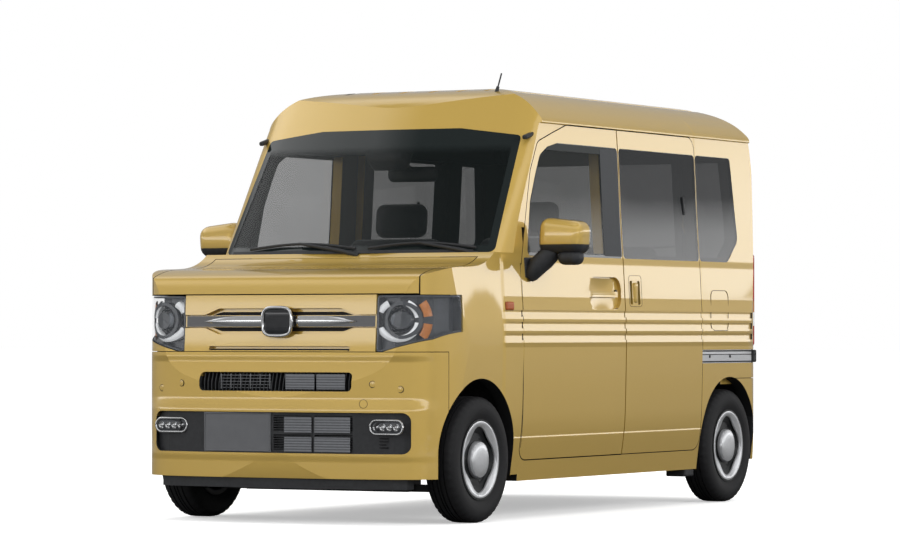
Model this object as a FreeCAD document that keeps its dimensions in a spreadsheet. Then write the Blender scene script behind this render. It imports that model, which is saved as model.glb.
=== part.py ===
import FreeCAD, Part
import math
import os
import re
import Sketcher

# Kei van with a short nose, a raised roof and sliding rear doors, in millimetres.
# X runs to the van's left, Y to its rear and Z up. The origin is on the floor under the middle of the body.

V = FreeCAD.Vector

# Driving sizes, kept in a spreadsheet
SIZES = [
    ("body_length", 3395.0),
    ("body_width", 1475.0),
    ("body_height", 1905.0),
    ("wheelbase", 2520.0),
    ("front_overhang", 510.0),
    ("track", 1310.0),
    ("tyre_radius", 268.0),
    ("tyre_width", 145.0),
    ("bead_radius", 158.0),
    ("arch_rise", 22.0),
    ("liner_radius", 350.0),
    ("liner_wall", 6.0),
    ("sill_clearance", 165.0),
    ("bumper_clearance", 195.0),
    ("door_bottom", 258.0),
    ("belt_height", 1142.0),
    ("glass_top", 1642.0),
    ("drip_height", 1728.0),
    ("fender_length", 372.0),
    ("front_door_length", 1000.0),
    ("slide_door_length", 814.0),
    ("swing_gap", 9.0),
    ("side_wall", 55.0),
    ("roof_wall", 30.0),
    ("moving_gap", 5.0),
    ("shut_line", 4.0),
    ("seat_gap", 0.3),
    ("glass_thickness", 6.0),
    ("glass_lap", 18.0),
    ("screen_rake", 33.4),
    ("screen_sag", 70.0),
    ("screen_base_height", 1150.0),
    ("screen_base_setback", 125.0),
    ("hood_edge_height", 970.0),
    ("hood_half_width", 652.0),
    ("notch_radius", 16.0),
    ("notch_height", 120.0),
    ("door_hinge_inset", 32.0),
    ("door_hinge_setback", 36.0),
    ("hinge_barrel_radius", 11.0),
    ("hinge_pin_radius", 6.0),
    ("pin_clearance", 0.05),
    ("hinge_length", 70.0),
    ("lamp_inner_x", 471.0),
    ("lamp_bottom", 727.0),
    ("lamp_side_length", 325.0),
    ("tailgate_half_width", 634.0),
    ("tailgate_bottom", 560.0),
    ("tail_lamp_bottom", 735.0),
    ("tail_lamp_top", 1195.0),
    ("tail_lamp_length", 52.0),
    ("bead_count", 3.0),
    ("bead_pitch", 50.5),
    ("bead_height", 28.0),
    ("bead_top", 903.0),
    ("rail_bottom", 662.0),
    ("rail_height", 64.0),
    ("rail_depth", 16.0),
    ("floor_height", 330.0),
    ("cargo_height", 525.0),
    ("floor_wall", 40.0),
    ("bulkhead_wall", 12.0),
    ("rim_wall", 6.0),
    ("hub_radius", 42.0),
    ("hub_offset", 20.0),
    ("disc_wall", 10.0),
    ("cap_radius", 72.0),
    ("cap_height", 22.0),
    ("spindle_radius", 15.0),
    ("strut_radius", 22.0),
    ("strut_top", 800.0),
    ("knuckle_width", 32.0),
    ("knuckle_length", 80.0),
    ("knuckle_height", 210.0),
    ("beam_radius", 34.0),
    ("engine_width", 520.0),
    ("engine_length", 330.0),
    ("engine_height", 480.0),
    ("engine_bottom", 250.0),
    ("tank_width", 760.0),
    ("tank_length", 520.0),
    ("tank_height", 130.0),
    ("exhaust_radius", 22.0),
    ("muffler_radius", 85.0),
    ("muffler_length", 420.0),
    ("steering_radius", 180.0),
    ("steering_rim", 13.0),
    ("column_angle", 32.0),
    ("seat_x", 340.0),
    ("seat_width", 480.0),
    ("seat_thickness", 110.0),
    ("seat_depth", 480.0),
    ("seat_back_height", 620.0),
    ("mirror_reach", 205.0),
    ("mirror_height", 150.0),
    ("mirror_length", 175.0),
    ("mast_length", 160.0),
    ("mast_radius", 3.5),
    ("overrun", 60.0),
    ("mm3_per_litre", 1e6),
    ("post_gap", 7.0),
    ("post_wall", 36.0),
    ("post_width", 90.0),
    ("sill_reach", 180.0),
    ("arch_shift", 20.0),
    ("rear_arch_shift", 14.0),
    ("front_arch_radius", 322.0),
    ("rear_arch_radius", 306.0),
    ("belt_drop", 42.0),
    ("door_corner", 60.0),
    ("pillar_bend", 60.0),
    ("pane_corner", 22.0),
    ("pane_edge", 3.0),
    ("pillar_strip", 182.0),
    ("quarter_length", 445.0),
    ("chamfer_share", 0.70),
    ("quarter_chamfer", 105.0),
    ("quarter_lean", 52.0),
    ("screen_glass_bottom", 1152.0),
    ("screen_glass_top", 1668.0),
    ("screen_low_half", 672.0),
    ("screen_high_half", 636.0),
    ("screen_crown", 36.0),
    ("crown_share", 0.55),
    ("screen_rear", -560.0),
    ("rear_glass_bottom", 1120.0),
    ("rear_glass_top", 1650.0),
    ("rear_glass_half", 590.0),
    ("rear_glass_taper", 25.0),
    ("gate_hinge_inset", 75.0),
    ("gate_hinge_x", 430.0),
    ("tailgate_taper", 26.0),
    ("hood_rear_setback", 95.0),
    ("hood_hinge_setback", 30.0),
    ("hood_hinge_inset", 34.0),
    ("hood_hinge_height", 1094.0),
    ("hood_hinge_x", 520.0),
    ("lamp_top", 962.0),
    ("lamp_corner", 14.0),
    ("low_hinge_height", 420.0),
    ("high_hinge_height", 960.0),
    ("pin_bite", 10.0),
    ("hinge_arm_reach", 62.0),
    ("hinge_arm_thick", 12.0),
    ("bead_start", 200.0),
    ("bead_end", 250.0),
    ("fender_gap", 5.0),
    ("cowl_height", 1100.0),
    ("rear_bumper_top", 590.0),
    ("tab_width", 30.0),
    ("tab_wall", 8.0),
    ("firewall_setback", 34.0),
    ("rail_length", 640.0),
    ("roof_bead_count", 4.0),
    ("roof_bead_x", 75.0),
    ("roof_bead_pitch", 140.0),
    ("roof_bead_width", 22.0),
    ("roof_bead_front_share", 0.27),
    ("roof_bead_rear_share", 0.90),
    ("seam", 3.0),
    ("bumper_rear_offset", 283.0),
    ("slot_half", 373.0),
    ("slot_bottom", 560.0),
    ("slot_top", 640.0),
    ("slot_corner", 22.0),
    ("intake_half", 626.0),
    ("intake_bottom", 300.0),
    ("intake_top", 472.0),
    ("intake_corner", 36.0),
    ("bar_bottom", 830.0),
    ("bar_top", 878.0),
    ("channel_height", 110.0),
    ("channel_half", 300.0),
    ("channel_slope", 70.0),
    ("channel_margin", 4.0),
    ("channel_depth", 26.0),
    ("badge_radius", 62.0),
    ("badge_setback", 40.0),
    ("badge_depth", 35.0),
    ("lower_slot_half", 345.0),
    ("lower_slot_bottom", 732.0),
    ("lower_slot_height", 17.0),
    ("lamp_foot", 24.0),
    ("lamp_bend_x", 690.0),
    ("lamp_bend_height", 780.0),
    ("lamp_tail_height", 860.0),
    ("lamp_wall", 7.0),
    ("lamp_cavity_depth", 38.0),
    ("projector_x", 585.0),
    ("projector_height", 858.0),
    ("projector_setback", 20.0),
    ("projector_radius", 36.0),
    ("projector_depth", 90.0),
    ("ring_radius", 78.0),
    ("ring_wall", 14.0),
    ("rail_x", 380.0),
    ("rail_side", 60.0),
    ("frame_height", 290.0),
    ("kingpin_x", 550.0),
    ("gate_post_back", 130.0),
    ("rail_sink_share", 0.35),
    ("seat_box_front", -790.0),
    ("seat_box_height", 600.0),
    ("seat_box_rear", -180.0),
    ("rear_floor_height", 430.0),
    ("cargo_front", 860.0),
    ("cargo_rear", 1590.0),
    ("firewall_height", 1060.0),
    ("shelf_rear", -1050.0),
    ("front_cup_x", 424.0),
    ("rear_cup_x", 560.0),
    ("rear_liner_radius", 322.0),
    ("steering_y", -640.0),
    ("steering_z", 985.0),
    ("shaft_radius", 11.0),
    ("column_radius", 34.0),
    ("column_gap", 45.0),
    ("column_length", 250.0),
    ("steering_hub", 50.0),
    ("spoke_width", 36.0),
    ("spoke_wall", 14.0),
    ("dash_front", -1038.0),
    ("dash_crown", -980.0),
    ("dash_rear", -800.0),
    ("dash_bottom", 760.0),
    ("dash_shelf", 900.0),
    ("dash_top", 1110.0),
    ("dash_slope", 60.0),
    ("dash_round", 25.0),
    ("dash_half", 600.0),
    ("seat_front", -600.0),
    ("seat_round", 28.0),
    ("back_lean", 110.0),
    ("back_bite_share", 0.7),
    ("head_gap", 30.0),
    ("head_height", 150.0),
    ("head_width", 250.0),
    ("head_thick", 85.0),
    ("bench_front", 330.0),
    ("bench_rise", 150.0),
    ("bench_width", 1080.0),
    ("mirror_inner_x", 772.0),
    ("mirror_y", -668.0),
    ("mirror_bottom", 1146.0),
    ("mirror_round", 34.0),
    ("mirror_arm", 26.0),
    ("mirror_foot_x", 716.0),
    ("mirror_drop", 24.0),
    ("axle_window", 50.0),
    ("fin_right", 372.0),
    ("frame_edge", 14.0),
    ("fin_count", 14.0),
    ("fin_wall", 4.0),
    ("slot_rib_count", 40.0),
    ("intake_setback", 12.0),
    ("intake_back", 40.0),
    ("plate_centre", 179.0),
    ("plate_width", 330.0),
    ("plate_height", 165.0),
    ("plate_bottom", 304.0),
    ("plate_setback", 9.5),
    ("plate_wall", 2.0),
    ("bead_share", 0.84),
    ("rim_lip", 5.0),
    ("rim_lip_height", 14.0),
    ("dish_depth", 40.0),
    ("dish_radius", 112.0),
    ("cap_face", 66.0),
    ("cap_crown_share", 0.75),
    ("hub_depth", 46.0),
    ("pin_end_gap", 4.0),
    ("brake_radius", 105.0),
    ("brake_wall", 30.0),
    ("kingpin_length", 36.0),
    ("kingpin_radius", 12.0),
    ("cross_half", 400.0),
    ("eye_radius", 24.0),
    ("axle_inset", 12.0),
    ("spring_x", 440.0),
    ("spring_radius", 48.0),
    ("engine_front", -700.0),
    ("tank_front", 200.0),
    ("tank_round", 20.0),
    ("muffler_drop", 20.0),
    ("muffler_y", 1530.0),
    ("tail_pipe", 95.0),
    ("wiper_left_share", -0.42),
    ("wiper_mid_share", 0.02),
    ("wiper_right_share", 0.40),
    ("wiper_bottom", 1150.0),
    ("wiper_height", 14.0),
    ("wiper_wall", 10.0),
    ("mast_x", 430.0),
    ("mast_y", -520.0),
    ("mast_sink", 90.0),
    ("mast_lean_share", 0.55),
    ("dish_front", -170.0),
    ("dish_rear", 150.0),
    ("dish_bottom", 912.0),
    ("dish_top", 1056.0),
    ("dish_corner", 58.0),
    ("dish_bar_top", 991.0),
    ("dish_bar_height", 25.0),
    ("dish_bar_end", 34.0),
    ("grip_front", 245.0),
    ("grip_length", 104.0),
    ("grip_bottom", 934.0),
    ("grip_height", 108.0),
    ("grip_bar_start", 24.0),
    ("grip_corner", 9.0),
    ("fog_x", 533.0),
    ("fog_height", 412.0),
    ("fog_length", 118.0),
    ("fog_tall", 52.0),
    ("fog_wall", 7.0),
    ("lip_bottom", 152.0),
    ("lip_half", 600.0),
    ("lip_setback", 16.0),
    ("lip_wall", 40.0),
]

# Cells worked out from the driving sizes
DERIVED = [
    ("half_length", "=body_length / 2"),
    ("half_width", "=body_width / 2"),
    ("front_axle", "=-half_length + front_overhang"),
    ("rear_axle", "=front_axle + wheelbase"),
    ("wheel_x", "=track / 2"),
    ("tyre_half", "=tyre_width / 2"),
    ("tyre_wall", "=tyre_radius - bead_radius"),
    ("rim_half", "=tyre_half * bead_share"),
    ("rim_out", "=rim_half + seat_gap + rim_lip"),
    ("rim_seat", "=bead_radius - seat_gap"),
    ("rim_barrel", "=bead_radius - rim_wall"),
    ("hub_bore", "=spindle_radius + pin_clearance"),
    ("spindle_end", "=wheel_x + hub_depth - pin_end_gap"),
    ("cargo_under", "=cargo_height - floor_wall"),
    ("muffler_z", "=cargo_under - muffler_radius - muffler_drop"),
    ("arm_top", "=tyre_radius - knuckle_height / 2 - moving_gap"),
    ("arm_bottom", "=arm_top - kingpin_length + moving_gap"),
    ("strut_foot", "=tyre_radius + knuckle_height / 2 + moving_gap"),
    ("firewall_y", "=front_axle + firewall_setback"),
    ("axle_end", "=wheel_x - tyre_half - axle_inset"),
    ("drum_x", "=wheel_x + hub_offset - moving_gap * 2 - brake_wall"),
    ("link_front", "=cargo_front + floor_wall + seat_gap"),
]

# Half outline of the tyre, as shares of its half width and of its wall height
TYRE_SHARES = [(0.83, 0.0), (0.83, 0.16), (0.965, 0.34), (1.0, 0.52), (0.98, 0.75), (0.86, 0.93), (0.66, 0.99),
               (0.52, 1.0)]
# Outline of the wheel with its rim, dished disc, cap and hub, as cells along and across the axle
WHEEL_ROWS = [("-rim_out", "rim_barrel"), ("-rim_out", "rim_seat + rim_lip_height"),
              ("-rim_half - seat_gap", "rim_seat + rim_lip_height"), ("-rim_half - seat_gap", "rim_seat"),
              ("rim_half + seat_gap", "rim_seat"), ("rim_half + seat_gap", "rim_seat + rim_lip_height"),
              ("rim_out", "rim_seat + rim_lip_height"), ("rim_out", "rim_barrel"),
              ("rim_out - disc_wall", "rim_barrel - disc_wall"), ("dish_depth", "dish_radius"),
              ("dish_depth", "cap_radius + disc_wall"), ("cap_face - cap_height", "cap_radius"),
              ("cap_face - cap_height / 3", "cap_radius * cap_crown_share"), ("cap_face", "0"), ("hub_depth", "0"),
              ("hub_depth", "hub_bore"), ("hub_offset", "hub_bore"), ("hub_offset", "hub_radius"),
              ("dish_depth - disc_wall", "hub_radius + disc_wall"), ("dish_depth - disc_wall", "dish_radius"),
              ("rim_out - disc_wall * 2", "rim_barrel - disc_wall"), ("-rim_half", "rim_barrel - disc_wall / 2")]


def outline_cells(name, rows):
    """Cells for the corners of a turned outline: distance along the axis and radius."""
    cells = []
    for i, (along, radius) in enumerate(rows):
        cells += [("%s_x%d" % (name, i), "=" + along), ("%s_r%d" % (name, i), "=" + radius)]
    return cells


tyre_side = [("tyre_half * %r" % a, "bead_radius + tyre_wall * %r" % b) for a, b in TYRE_SHARES]
tyre_rows = tyre_side + [("-" + along, radius) for along, radius in reversed(tyre_side)]
DERIVED += outline_cells("tyre_line", tyre_rows) + outline_cells("wheel_line", WHEEL_ROWS)

doc = FreeCAD.newDocument("kei_van")
sheet = doc.addObject("Spreadsheet::Sheet", "sizes")
for row, (alias, amount) in enumerate(SIZES + DERIVED, start=1):
    sheet.set("A%d" % row, alias)
    sheet.set("B%d" % row, amount if isinstance(amount, str) else repr(amount))
    sheet.setAlias("B%d" % row, alias)
doc.recompute()


class Values:
    """The sheet's cells, read back as plain numbers."""


s = Values()
for alias, _ in SIZES + DERIVED:
    setattr(s, alias, float(getattr(sheet, alias)))

half_length, half_width = s.half_length, s.half_width
front_axle, rear_axle, wheel_x = s.front_axle, s.rear_axle, s.wheel_x
arch_z = s.tyre_radius + s.arch_rise
door_front = front_axle + s.fender_length
door_rear = door_front + s.front_door_length
slide_front = door_rear + s.swing_gap
slide_rear = slide_front + s.slide_door_length

# Half width of the body at each height, as shares of the half width and of the roof height
SECTION_SHARES = [
    (0.950, 0.087), (0.966, 0.139), (0.984, 0.192), (0.994, 0.277), (0.999, 0.368),
    (0.998, 0.446), (0.989, 0.509), (0.980, 0.578), (0.976, 0.601), (0.961, 0.688),
    (0.938, 0.864), (0.930, 0.905),
]
ROOF_SECTION_SHARES = [
    (0.939, 0.907), (0.937, 0.914), (0.918, 0.925), (0.872, 0.944), (0.810, 0.962),
    (0.715, 0.979), (0.560, 0.991), (0.300, 0.998), (0.0, 1.0),
]
# Side view of the nose from the bumper's foot to the hood's rear edge, then of the screen foot
NOSE_SHARES = [
    (-0.992, 0.087), (-0.996, 0.105), (-1.000, 0.200), (-1.000, 0.280), (-0.992, 0.312),
    (-0.978, 0.350), (-0.971, 0.385), (-0.967, 0.440), (-0.963, 0.509),
]
HOOD_SHARES = [
    (-0.963, 0.509), (-0.957, 0.528), (-0.945, 0.545), (-0.925, 0.553), (-0.850, 0.566),
    (-0.740, 0.586),
]
ROOF_SIDE_SHARES = [
    (-0.395, 0.924), (-0.372, 0.947), (-0.335, 0.970), (-0.275, 0.986), (-0.180, 0.996),
    (0.0, 1.0), (0.450, 0.999), (0.730, 0.993), (0.850, 0.983), (0.907, 0.970),
    (0.943, 0.950), (0.966, 0.922),
]
TAIL_SHARES = [
    (0.968, 0.905), (0.974, 0.864), (0.985, 0.762), (0.993, 0.682), (0.996, 0.525),
    (0.997, 0.394), (1.0, 0.366), (1.0, 0.160), (0.993, 0.102), (0.990, 0.087),
]
# Plan view corners, as shares of the half width and half length
FRONT_PLAN_SHARES = [
    (1.000, -0.760), (0.984, -0.849), (0.950, -0.903), (0.885, -0.945), (0.760, -0.972),
    (0.515, -0.990), (0.0, -1.0),
]
REAR_PLAN_SHARES = [
    (1.000, 0.880), (0.988, 0.943), (0.950, 0.975), (0.868, 0.991), (0.543, 0.998),
    (0.0, 1.0),
]
# Plan view of the windscreen: share of the half width, share of the screen's sag
SCREEN_PLAN_SHARES = [
    (0.0, 0.0), (0.45, 0.28), (0.72, 0.66), (0.855, 1.0), (0.925, 1.45), (0.965, 2.2),
    (0.990, 3.6), (1.010, 6.0),
]


def show(name, shape):
    """A sub-part whose form comes from Part's own functions."""
    piece = doc.addObject("Part::Feature", name)
    piece.Label = name
    piece.Shape = shape
    return piece


def on_sheet(text):
    """A formula of cell names as an expression for a property."""
    return re.sub(r"[a-z_]+[0-9]*", lambda word: "sizes." + word.group(0), text)


def bind(piece, sizes, place=()):
    for name, text in sizes.items():
        piece.setExpression(name, on_sheet(text))
    for axis, text in zip("xyz", place):
        piece.setExpression("Placement.Base." + axis, on_sheet(text))
    return piece


def primitive(kind, label, sizes, place, turn=None):
    """A Part primitive whose sizes and place follow the sheet."""
    piece = doc.addObject("Part::" + kind, label)
    if turn is not None:
        piece.Placement = FreeCAD.Placement(V(0, 0, 0), turn)
    return bind(piece, sizes, place)


def brick(label, length, width, height, place, turn=None):
    return primitive("Box", label, {"Length": length, "Width": width, "Height": height}, place, turn)


def bar(label, radius, length, place, turn=None):
    return primitive("Cylinder", label, {"Radius": radius, "Height": length}, place, turn)


def fused(label, pieces):
    whole_piece = doc.addObject("Part::MultiFuse", label)
    whole_piece.Label = label
    whole_piece.Shapes = pieces
    return whole_piece


def cut_off(label, base, tool):
    rest = doc.addObject("Part::Cut", label)
    rest.Label = label
    rest.Base, rest.Tool = base, tool
    return rest


ALONG_X = {1: FreeCAD.Rotation(V(0, 1, 0), 90), -1: FreeCAD.Rotation(V(0, 1, 0), -90)}
ALONG_Y = FreeCAD.Rotation(V(1, 0, 0), -90)
SIGN = {1: "", -1: "-"}


def turned_body(label, line, count, side, place):
    """A body turned about X from a sketch whose corners are held by the sheet's cells."""
    body = doc.addObject("PartDesign::Body", label)
    body.Label = label
    sketch = body.newObject("Sketcher::SketchObject", label + "_outline")
    planes = [plane for plane in body.Origin.OriginFeatures if plane.Role == "XZ_Plane"]
    sketch.AttachmentSupport = [(planes[0], "")]
    sketch.MapMode = "FlatFace"
    corners = []
    for i in range(count):
        corners.append(V(side * getattr(s, "%s_x%d" % (line, i)), getattr(s, "%s_r%d" % (line, i)), 0))
    for i in range(count):
        sketch.addGeometry(Part.LineSegment(corners[i], corners[(i + 1) % count]), False)
    for i in range(count):
        sketch.addConstraint(Sketcher.Constraint("Coincident", i, 2, (i + 1) % count, 1))
    for i, corner in enumerate(corners):
        for way, size, cell in (("DistanceX", corner.x, "%s_x%d" % (line, i)),
                                ("DistanceY", corner.y, "%s_r%d" % (line, i))):
            if abs(size) < s.pin_clearance:
                sketch.addConstraint(Sketcher.Constraint("PointOnObject", i, 1, -1))
                continue
            ends = (-1, 1, i, 1) if size > 0 else (i, 1, -1, 1)
            number = sketch.addConstraint(Sketcher.Constraint(way, *ends, abs(size)))
            sign = "-" if getattr(s, cell) < 0 else ""
            sketch.setExpression("Constraints[%d]" % number, sign + on_sheet(cell))
    turn = body.newObject("PartDesign::Revolution", label + "_turn")
    turn.Profile = sketch
    turn.ReferenceAxis = (sketch, ["H_Axis"])
    body.Tip = turn
    return bind(body, {}, place)


def smooth(points, start=None, end=None):
    """A smooth edge through points, with its end directions where they are given."""
    curve = Part.BSplineCurve()
    if start is None:
        curve.interpolate(points)
    else:
        curve.interpolate(Points=points, InitialTangent=start, FinalTangent=end)
    return curve.toShape()


def closed(edges):
    return Part.Face(Part.Wire(Part.__sortEdges__(edges)))


def polygon(points):
    return Part.Face(Part.makePolygon(list(points) + [points[0]]))


def block(x0, x1, y0, y1, z0, z1):
    return Part.makeBox(x1 - x0, y1 - y0, z1 - z0, V(x0, y0, z0))


def rod(centre, direction, radius, length):
    return Part.makeCylinder(radius, length, centre, direction)


def rounded(points, radii):
    """A closed outline in a plane whose corners are arcs. points are vectors, and radii one number a corner."""
    edges, n = [], len(points)
    starts, ends = [], []
    for i, corner in enumerate(points):
        before, after = points[i - 1] - corner, points[(i + 1) % n] - corner
        before_length, after_length = before.Length, after.Length
        before.normalize()
        after.normalize()
        half = before.getAngle(after) / 2
        radius = radii[i]
        if radius <= 0 or half > math.pi / 2 - 1e-3:
            starts.append(corner)
            ends.append(corner)
            continue
        back = min(radius / math.tan(half), before_length / 2.05, after_length / 2.05)
        radius = back * math.tan(half)
        first, last = corner + before * back, corner + after * back
        middle_way = before + after
        middle_way.normalize()
        middle = corner + middle_way * (radius / math.sin(half) - radius)
        starts.append(first)
        ends.append(last)
        edges.append(Part.Arc(first, middle, last).toShape())
    for i in range(n):
        a, b = ends[i], starts[(i + 1) % n]
        if (b - a).Length > 1e-6:
            edges.append(Part.LineSegment(a, b).toShape())
    return Part.Wire(Part.__sortEdges__(edges))


def side_prism(outline, radii, grow=0.0, x0=None, x1=None):
    """The outline in the YZ plane, grown outwards, swept across the left side wall."""
    x0 = half_width - s.side_wall * 3 if x0 is None else x0
    x1 = half_width + s.overrun if x1 is None else x1
    wire = rounded([V(x0, y, z) for y, z in outline], radii)
    face = Part.Face(wire)
    if grow:
        face = Part.Face(wire.makeOffset2D(grow).Wires[0]) if abs(grow) > 0 else face
    return face.extrude(V(x1 - x0, 0, 0))


def front_prism(outline, radii, grow=0.0, y0=None, y1=None):
    """The outline in the XZ plane, grown outwards, swept along the length."""
    wire = rounded([V(x, y0, z) for x, z in outline], radii)
    face = Part.Face(wire.makeOffset2D(grow).Wires[0] if grow else wire)
    return face.extrude(V(0, y1 - y0, 0))


def mirrored(shape):
    return shape.mirror(V(0, 0, 0), V(1, 0, 0))


def both(shape):
    return Part.makeCompound([shape, mirrored(shape)])


def one(shape):
    """The largest solid of a result, which drops the slivers that a cut leaves."""
    return max(shape.Solids, key=lambda solid: solid.Volume)


def plan_solid(inset, soft=True):
    wide, far = half_width - inset, half_length - inset
    def points(shares):
        return [V(wide * a, far * b, 0) for a, b in shares]
    front = points(FRONT_PLAN_SHARES)
    rear = points(REAR_PLAN_SHARES)
    flip = lambda row: [V(-p.x, p.y, 0) for p in reversed(row)]
    front_all = front + flip(front)[1:]
    rear_all = rear + flip(rear)[1:]
    if soft:
        edges = [smooth(front_all, V(0, -1, 0), V(0, 1, 0)), smooth(rear_all, V(0, 1, 0), V(0, -1, 0)),
                 Part.LineSegment(front[0], rear[0]).toShape(),
                 Part.LineSegment(front_all[-1], rear_all[-1]).toShape()]
        face = closed(edges)
    else:
        face = polygon(front_all + list(reversed(rear_all)))
    return face.extrude(V(0, 0, s.body_height + s.overrun))


def section_points(inset, roof_drop):
    low = [V(half_width * a - inset, 0, s.body_height * b) for a, b in SECTION_SHARES]
    low[0].z = 0
    top = [V(max(half_width * a - inset, 0), 0, s.body_height * b - roof_drop) for a, b in ROOF_SECTION_SHARES]
    return low, top


def section_solid(inset, soft=True):
    drop = inset if inset < s.roof_wall else s.roof_wall
    low, top = section_points(inset, drop)
    flip = lambda row: [V(-p.x, 0, p.z) for p in reversed(row)]
    top_all = top + flip(top)[1:]
    low_other = flip(low)
    low = [p for p in low if p.z < top[0].z]
    low_other = flip(low)
    if soft:
        edges = [smooth(low), smooth(top_all), smooth(low_other),
                 Part.LineSegment(low[-1], top_all[0]).toShape(),
                 Part.LineSegment(top_all[-1], low_other[0]).toShape(),
                 Part.LineSegment(low_other[-1], low[0]).toShape()]
        face = closed(edges)
    else:
        face = polygon(low + top_all + low_other)
    face.translate(V(0, -s.body_length, 0))
    return face.extrude(V(0, 2 * s.body_length, 0))


def screen_line(inset):
    """The foot and head of the windscreen at the middle of the van, as Y and Z."""
    foot_y = front_axle + s.screen_base_setback + inset
    rise = s.body_height * ROOF_SIDE_SHARES[0][1] - s.screen_base_height
    head_y = foot_y + rise * math.tan(math.radians(s.screen_rake))
    return foot_y, head_y, rise


def side_solid(inset, soft=True):
    def row(shares, dy, dz):
        return [V(0, half_length * a + dy, s.body_height * b + dz) for a, b in shares]
    drop = min(inset, s.roof_wall)
    nose = row(NOSE_SHARES, inset, 0)
    hood = row(HOOD_SHARES, inset, -inset if inset else 0)
    foot_y, head_y, rise = screen_line(inset)
    foot = V(0, foot_y, s.screen_base_height - drop)
    roof = row(ROOF_SIDE_SHARES, 0, -drop)
    roof = [V(0, p.y + (inset if p.y < 0 else -inset), p.z) for p in roof]
    roof[0] = V(0, head_y - drop * math.tan(math.radians(s.screen_rake)), roof[0].z)
    tail = row(TAIL_SHARES, -inset, 0)
    if inset:
        nose[0].z = nose[0].z
    hood[-1] = V(0, foot_y, foot.z)
    if soft:
        edges = [smooth(nose), smooth([nose[-1]] + hood[1:]), Part.LineSegment(foot, roof[0]).toShape(),
                 smooth(roof), Part.LineSegment(roof[-1], tail[0]).toShape(), smooth(tail),
                 Part.LineSegment(tail[-1], nose[0]).toShape()]
        face = closed(edges)
    else:
        face = polygon(nose + hood[1:] + roof + tail)
    face.translate(V(-s.body_width, 0, 0))
    return face.extrude(V(2 * s.body_width, 0, 0))


def screen_curve(inset, height):
    foot_y, _, _ = screen_line(inset)
    lean = math.tan(math.radians(s.screen_rake))
    back = foot_y + (height - s.screen_base_height) * lean
    half = [V(half_width * a, back + s.screen_sag * b, height) for a, b in SCREEN_PLAN_SHARES]
    other = [V(-p.x, p.y, p.z) for p in reversed(half)]
    return other[:-1] + half


def screen_cutter(inset, base=None):
    """What lies ahead of the curved windscreen, leaning back with it."""
    base = s.screen_base_height - min(inset, s.roof_wall) if base is None else base
    points = screen_curve(inset, base)
    far = -s.body_length
    edges = [smooth(points), Part.LineSegment(points[-1], V(points[-1].x, far, base)).toShape(),
             Part.LineSegment(V(points[-1].x, far, base), V(points[0].x, far, base)).toShape(),
             Part.LineSegment(V(points[0].x, far, base), points[0]).toShape()]
    up = s.body_height
    return closed(edges).extrude(V(0, up * math.tan(math.radians(s.screen_rake)), up))


def whole(inset, soft=True):
    """The van's outer form, moved inwards by inset."""
    form = plan_solid(inset, soft).common(section_solid(inset, soft))
    form = form.common(side_solid(inset, soft))
    form = one(form).cut(screen_cutter(inset))
    return one(form)


def left_half(shape):
    return shape.common(block(0, s.body_width, -s.body_length, s.body_length, 0, s.body_height + s.overrun))


# Master forms that every panel is cut from
outer = whole(0)
hollow = whole(s.side_wall, False)
shell = outer.cut(hollow)
glass_in = whole(s.glass_thickness - s.seat_gap)
glass_seat = whole(s.glass_thickness)
post_out = whole(s.side_wall + s.post_gap, False)
post_in = whole(s.side_wall + s.post_gap + s.post_wall, False)
post_ring = post_out.cut(post_in)
glass_skin = outer.cut(glass_in)
glass_pocket = outer.cut(glass_seat)

front_arch_y = front_axle - s.arch_shift
rear_arch_y = rear_axle - s.rear_arch_shift
door_top = s.drip_height - s.moving_gap
hinge_x = half_width - s.door_hinge_inset
hinge_y = door_front + s.door_hinge_setback
hinge_reach = math.hypot(s.door_hinge_inset, s.door_hinge_setback)


# Outline of the front door's leading edge above the belt, as Y shares of the door and heights
DOOR_PILLAR_SHARES = [(0.0, 0.0), (0.080, 0.40), (0.130, 0.66), (0.212, 0.866), (0.355, 0.935), (0.50, 1.0)]


def door_outline():
    low, high = s.belt_height - s.belt_drop, door_top
    points = [(door_rear, s.door_bottom), (door_front - s.hinge_barrel_radius, s.door_bottom),
              (door_front - s.hinge_barrel_radius, low)]
    for a, b in DOOR_PILLAR_SHARES:
        points.append((door_front + s.front_door_length * a, low + (high - low) * b))
    points.append((door_rear, high))
    radii = [0, s.door_corner, 0, 0] + [s.pillar_bend] * 4 + [s.pillar_bend, 0]
    return points, radii


def door_region(grow):
    """Room of the front door, whose leading face turns about the hinge."""
    points, radii = door_outline()
    whole_room = side_prism(points, radii, grow)
    ahead = block(0, s.body_width, -s.body_length, hinge_y, 0, s.body_height)
    curl = rod(V(hinge_x, hinge_y, 0), V(0, 0, 1), hinge_reach + grow, s.body_height)
    return whole_room.cut(ahead).fuse(whole_room.common(ahead).common(curl)).removeSplitter()


def slide_outline():
    return ([(slide_front, s.door_bottom), (slide_rear, s.door_bottom), (slide_rear, door_top),
             (slide_front, door_top)], [0, s.door_corner, s.door_corner, 0])


WINDOW_SHARES = [(0.060, 0.0), (0.1135, 0.47), (0.170, 0.695), (0.2245, 0.882), (0.300, 0.96), (0.40, 1.0)]


def front_window(grow=0.0, strip=0.0):
    """Outline of the front door's pane, which covers the pillar behind the opening too."""
    tall = s.glass_top - s.belt_height
    rear = door_rear - max(strip, s.pane_edge)
    points = [(door_front + s.front_door_length * a, s.belt_height + tall * b) for a, b in WINDOW_SHARES]
    points += [(rear, s.glass_top), (rear, s.belt_height)]
    radii = [s.pane_corner] + [s.pillar_bend] * 4 + [s.pillar_bend, s.pane_corner, s.pane_corner]
    return side_prism(points, radii, grow)


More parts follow.
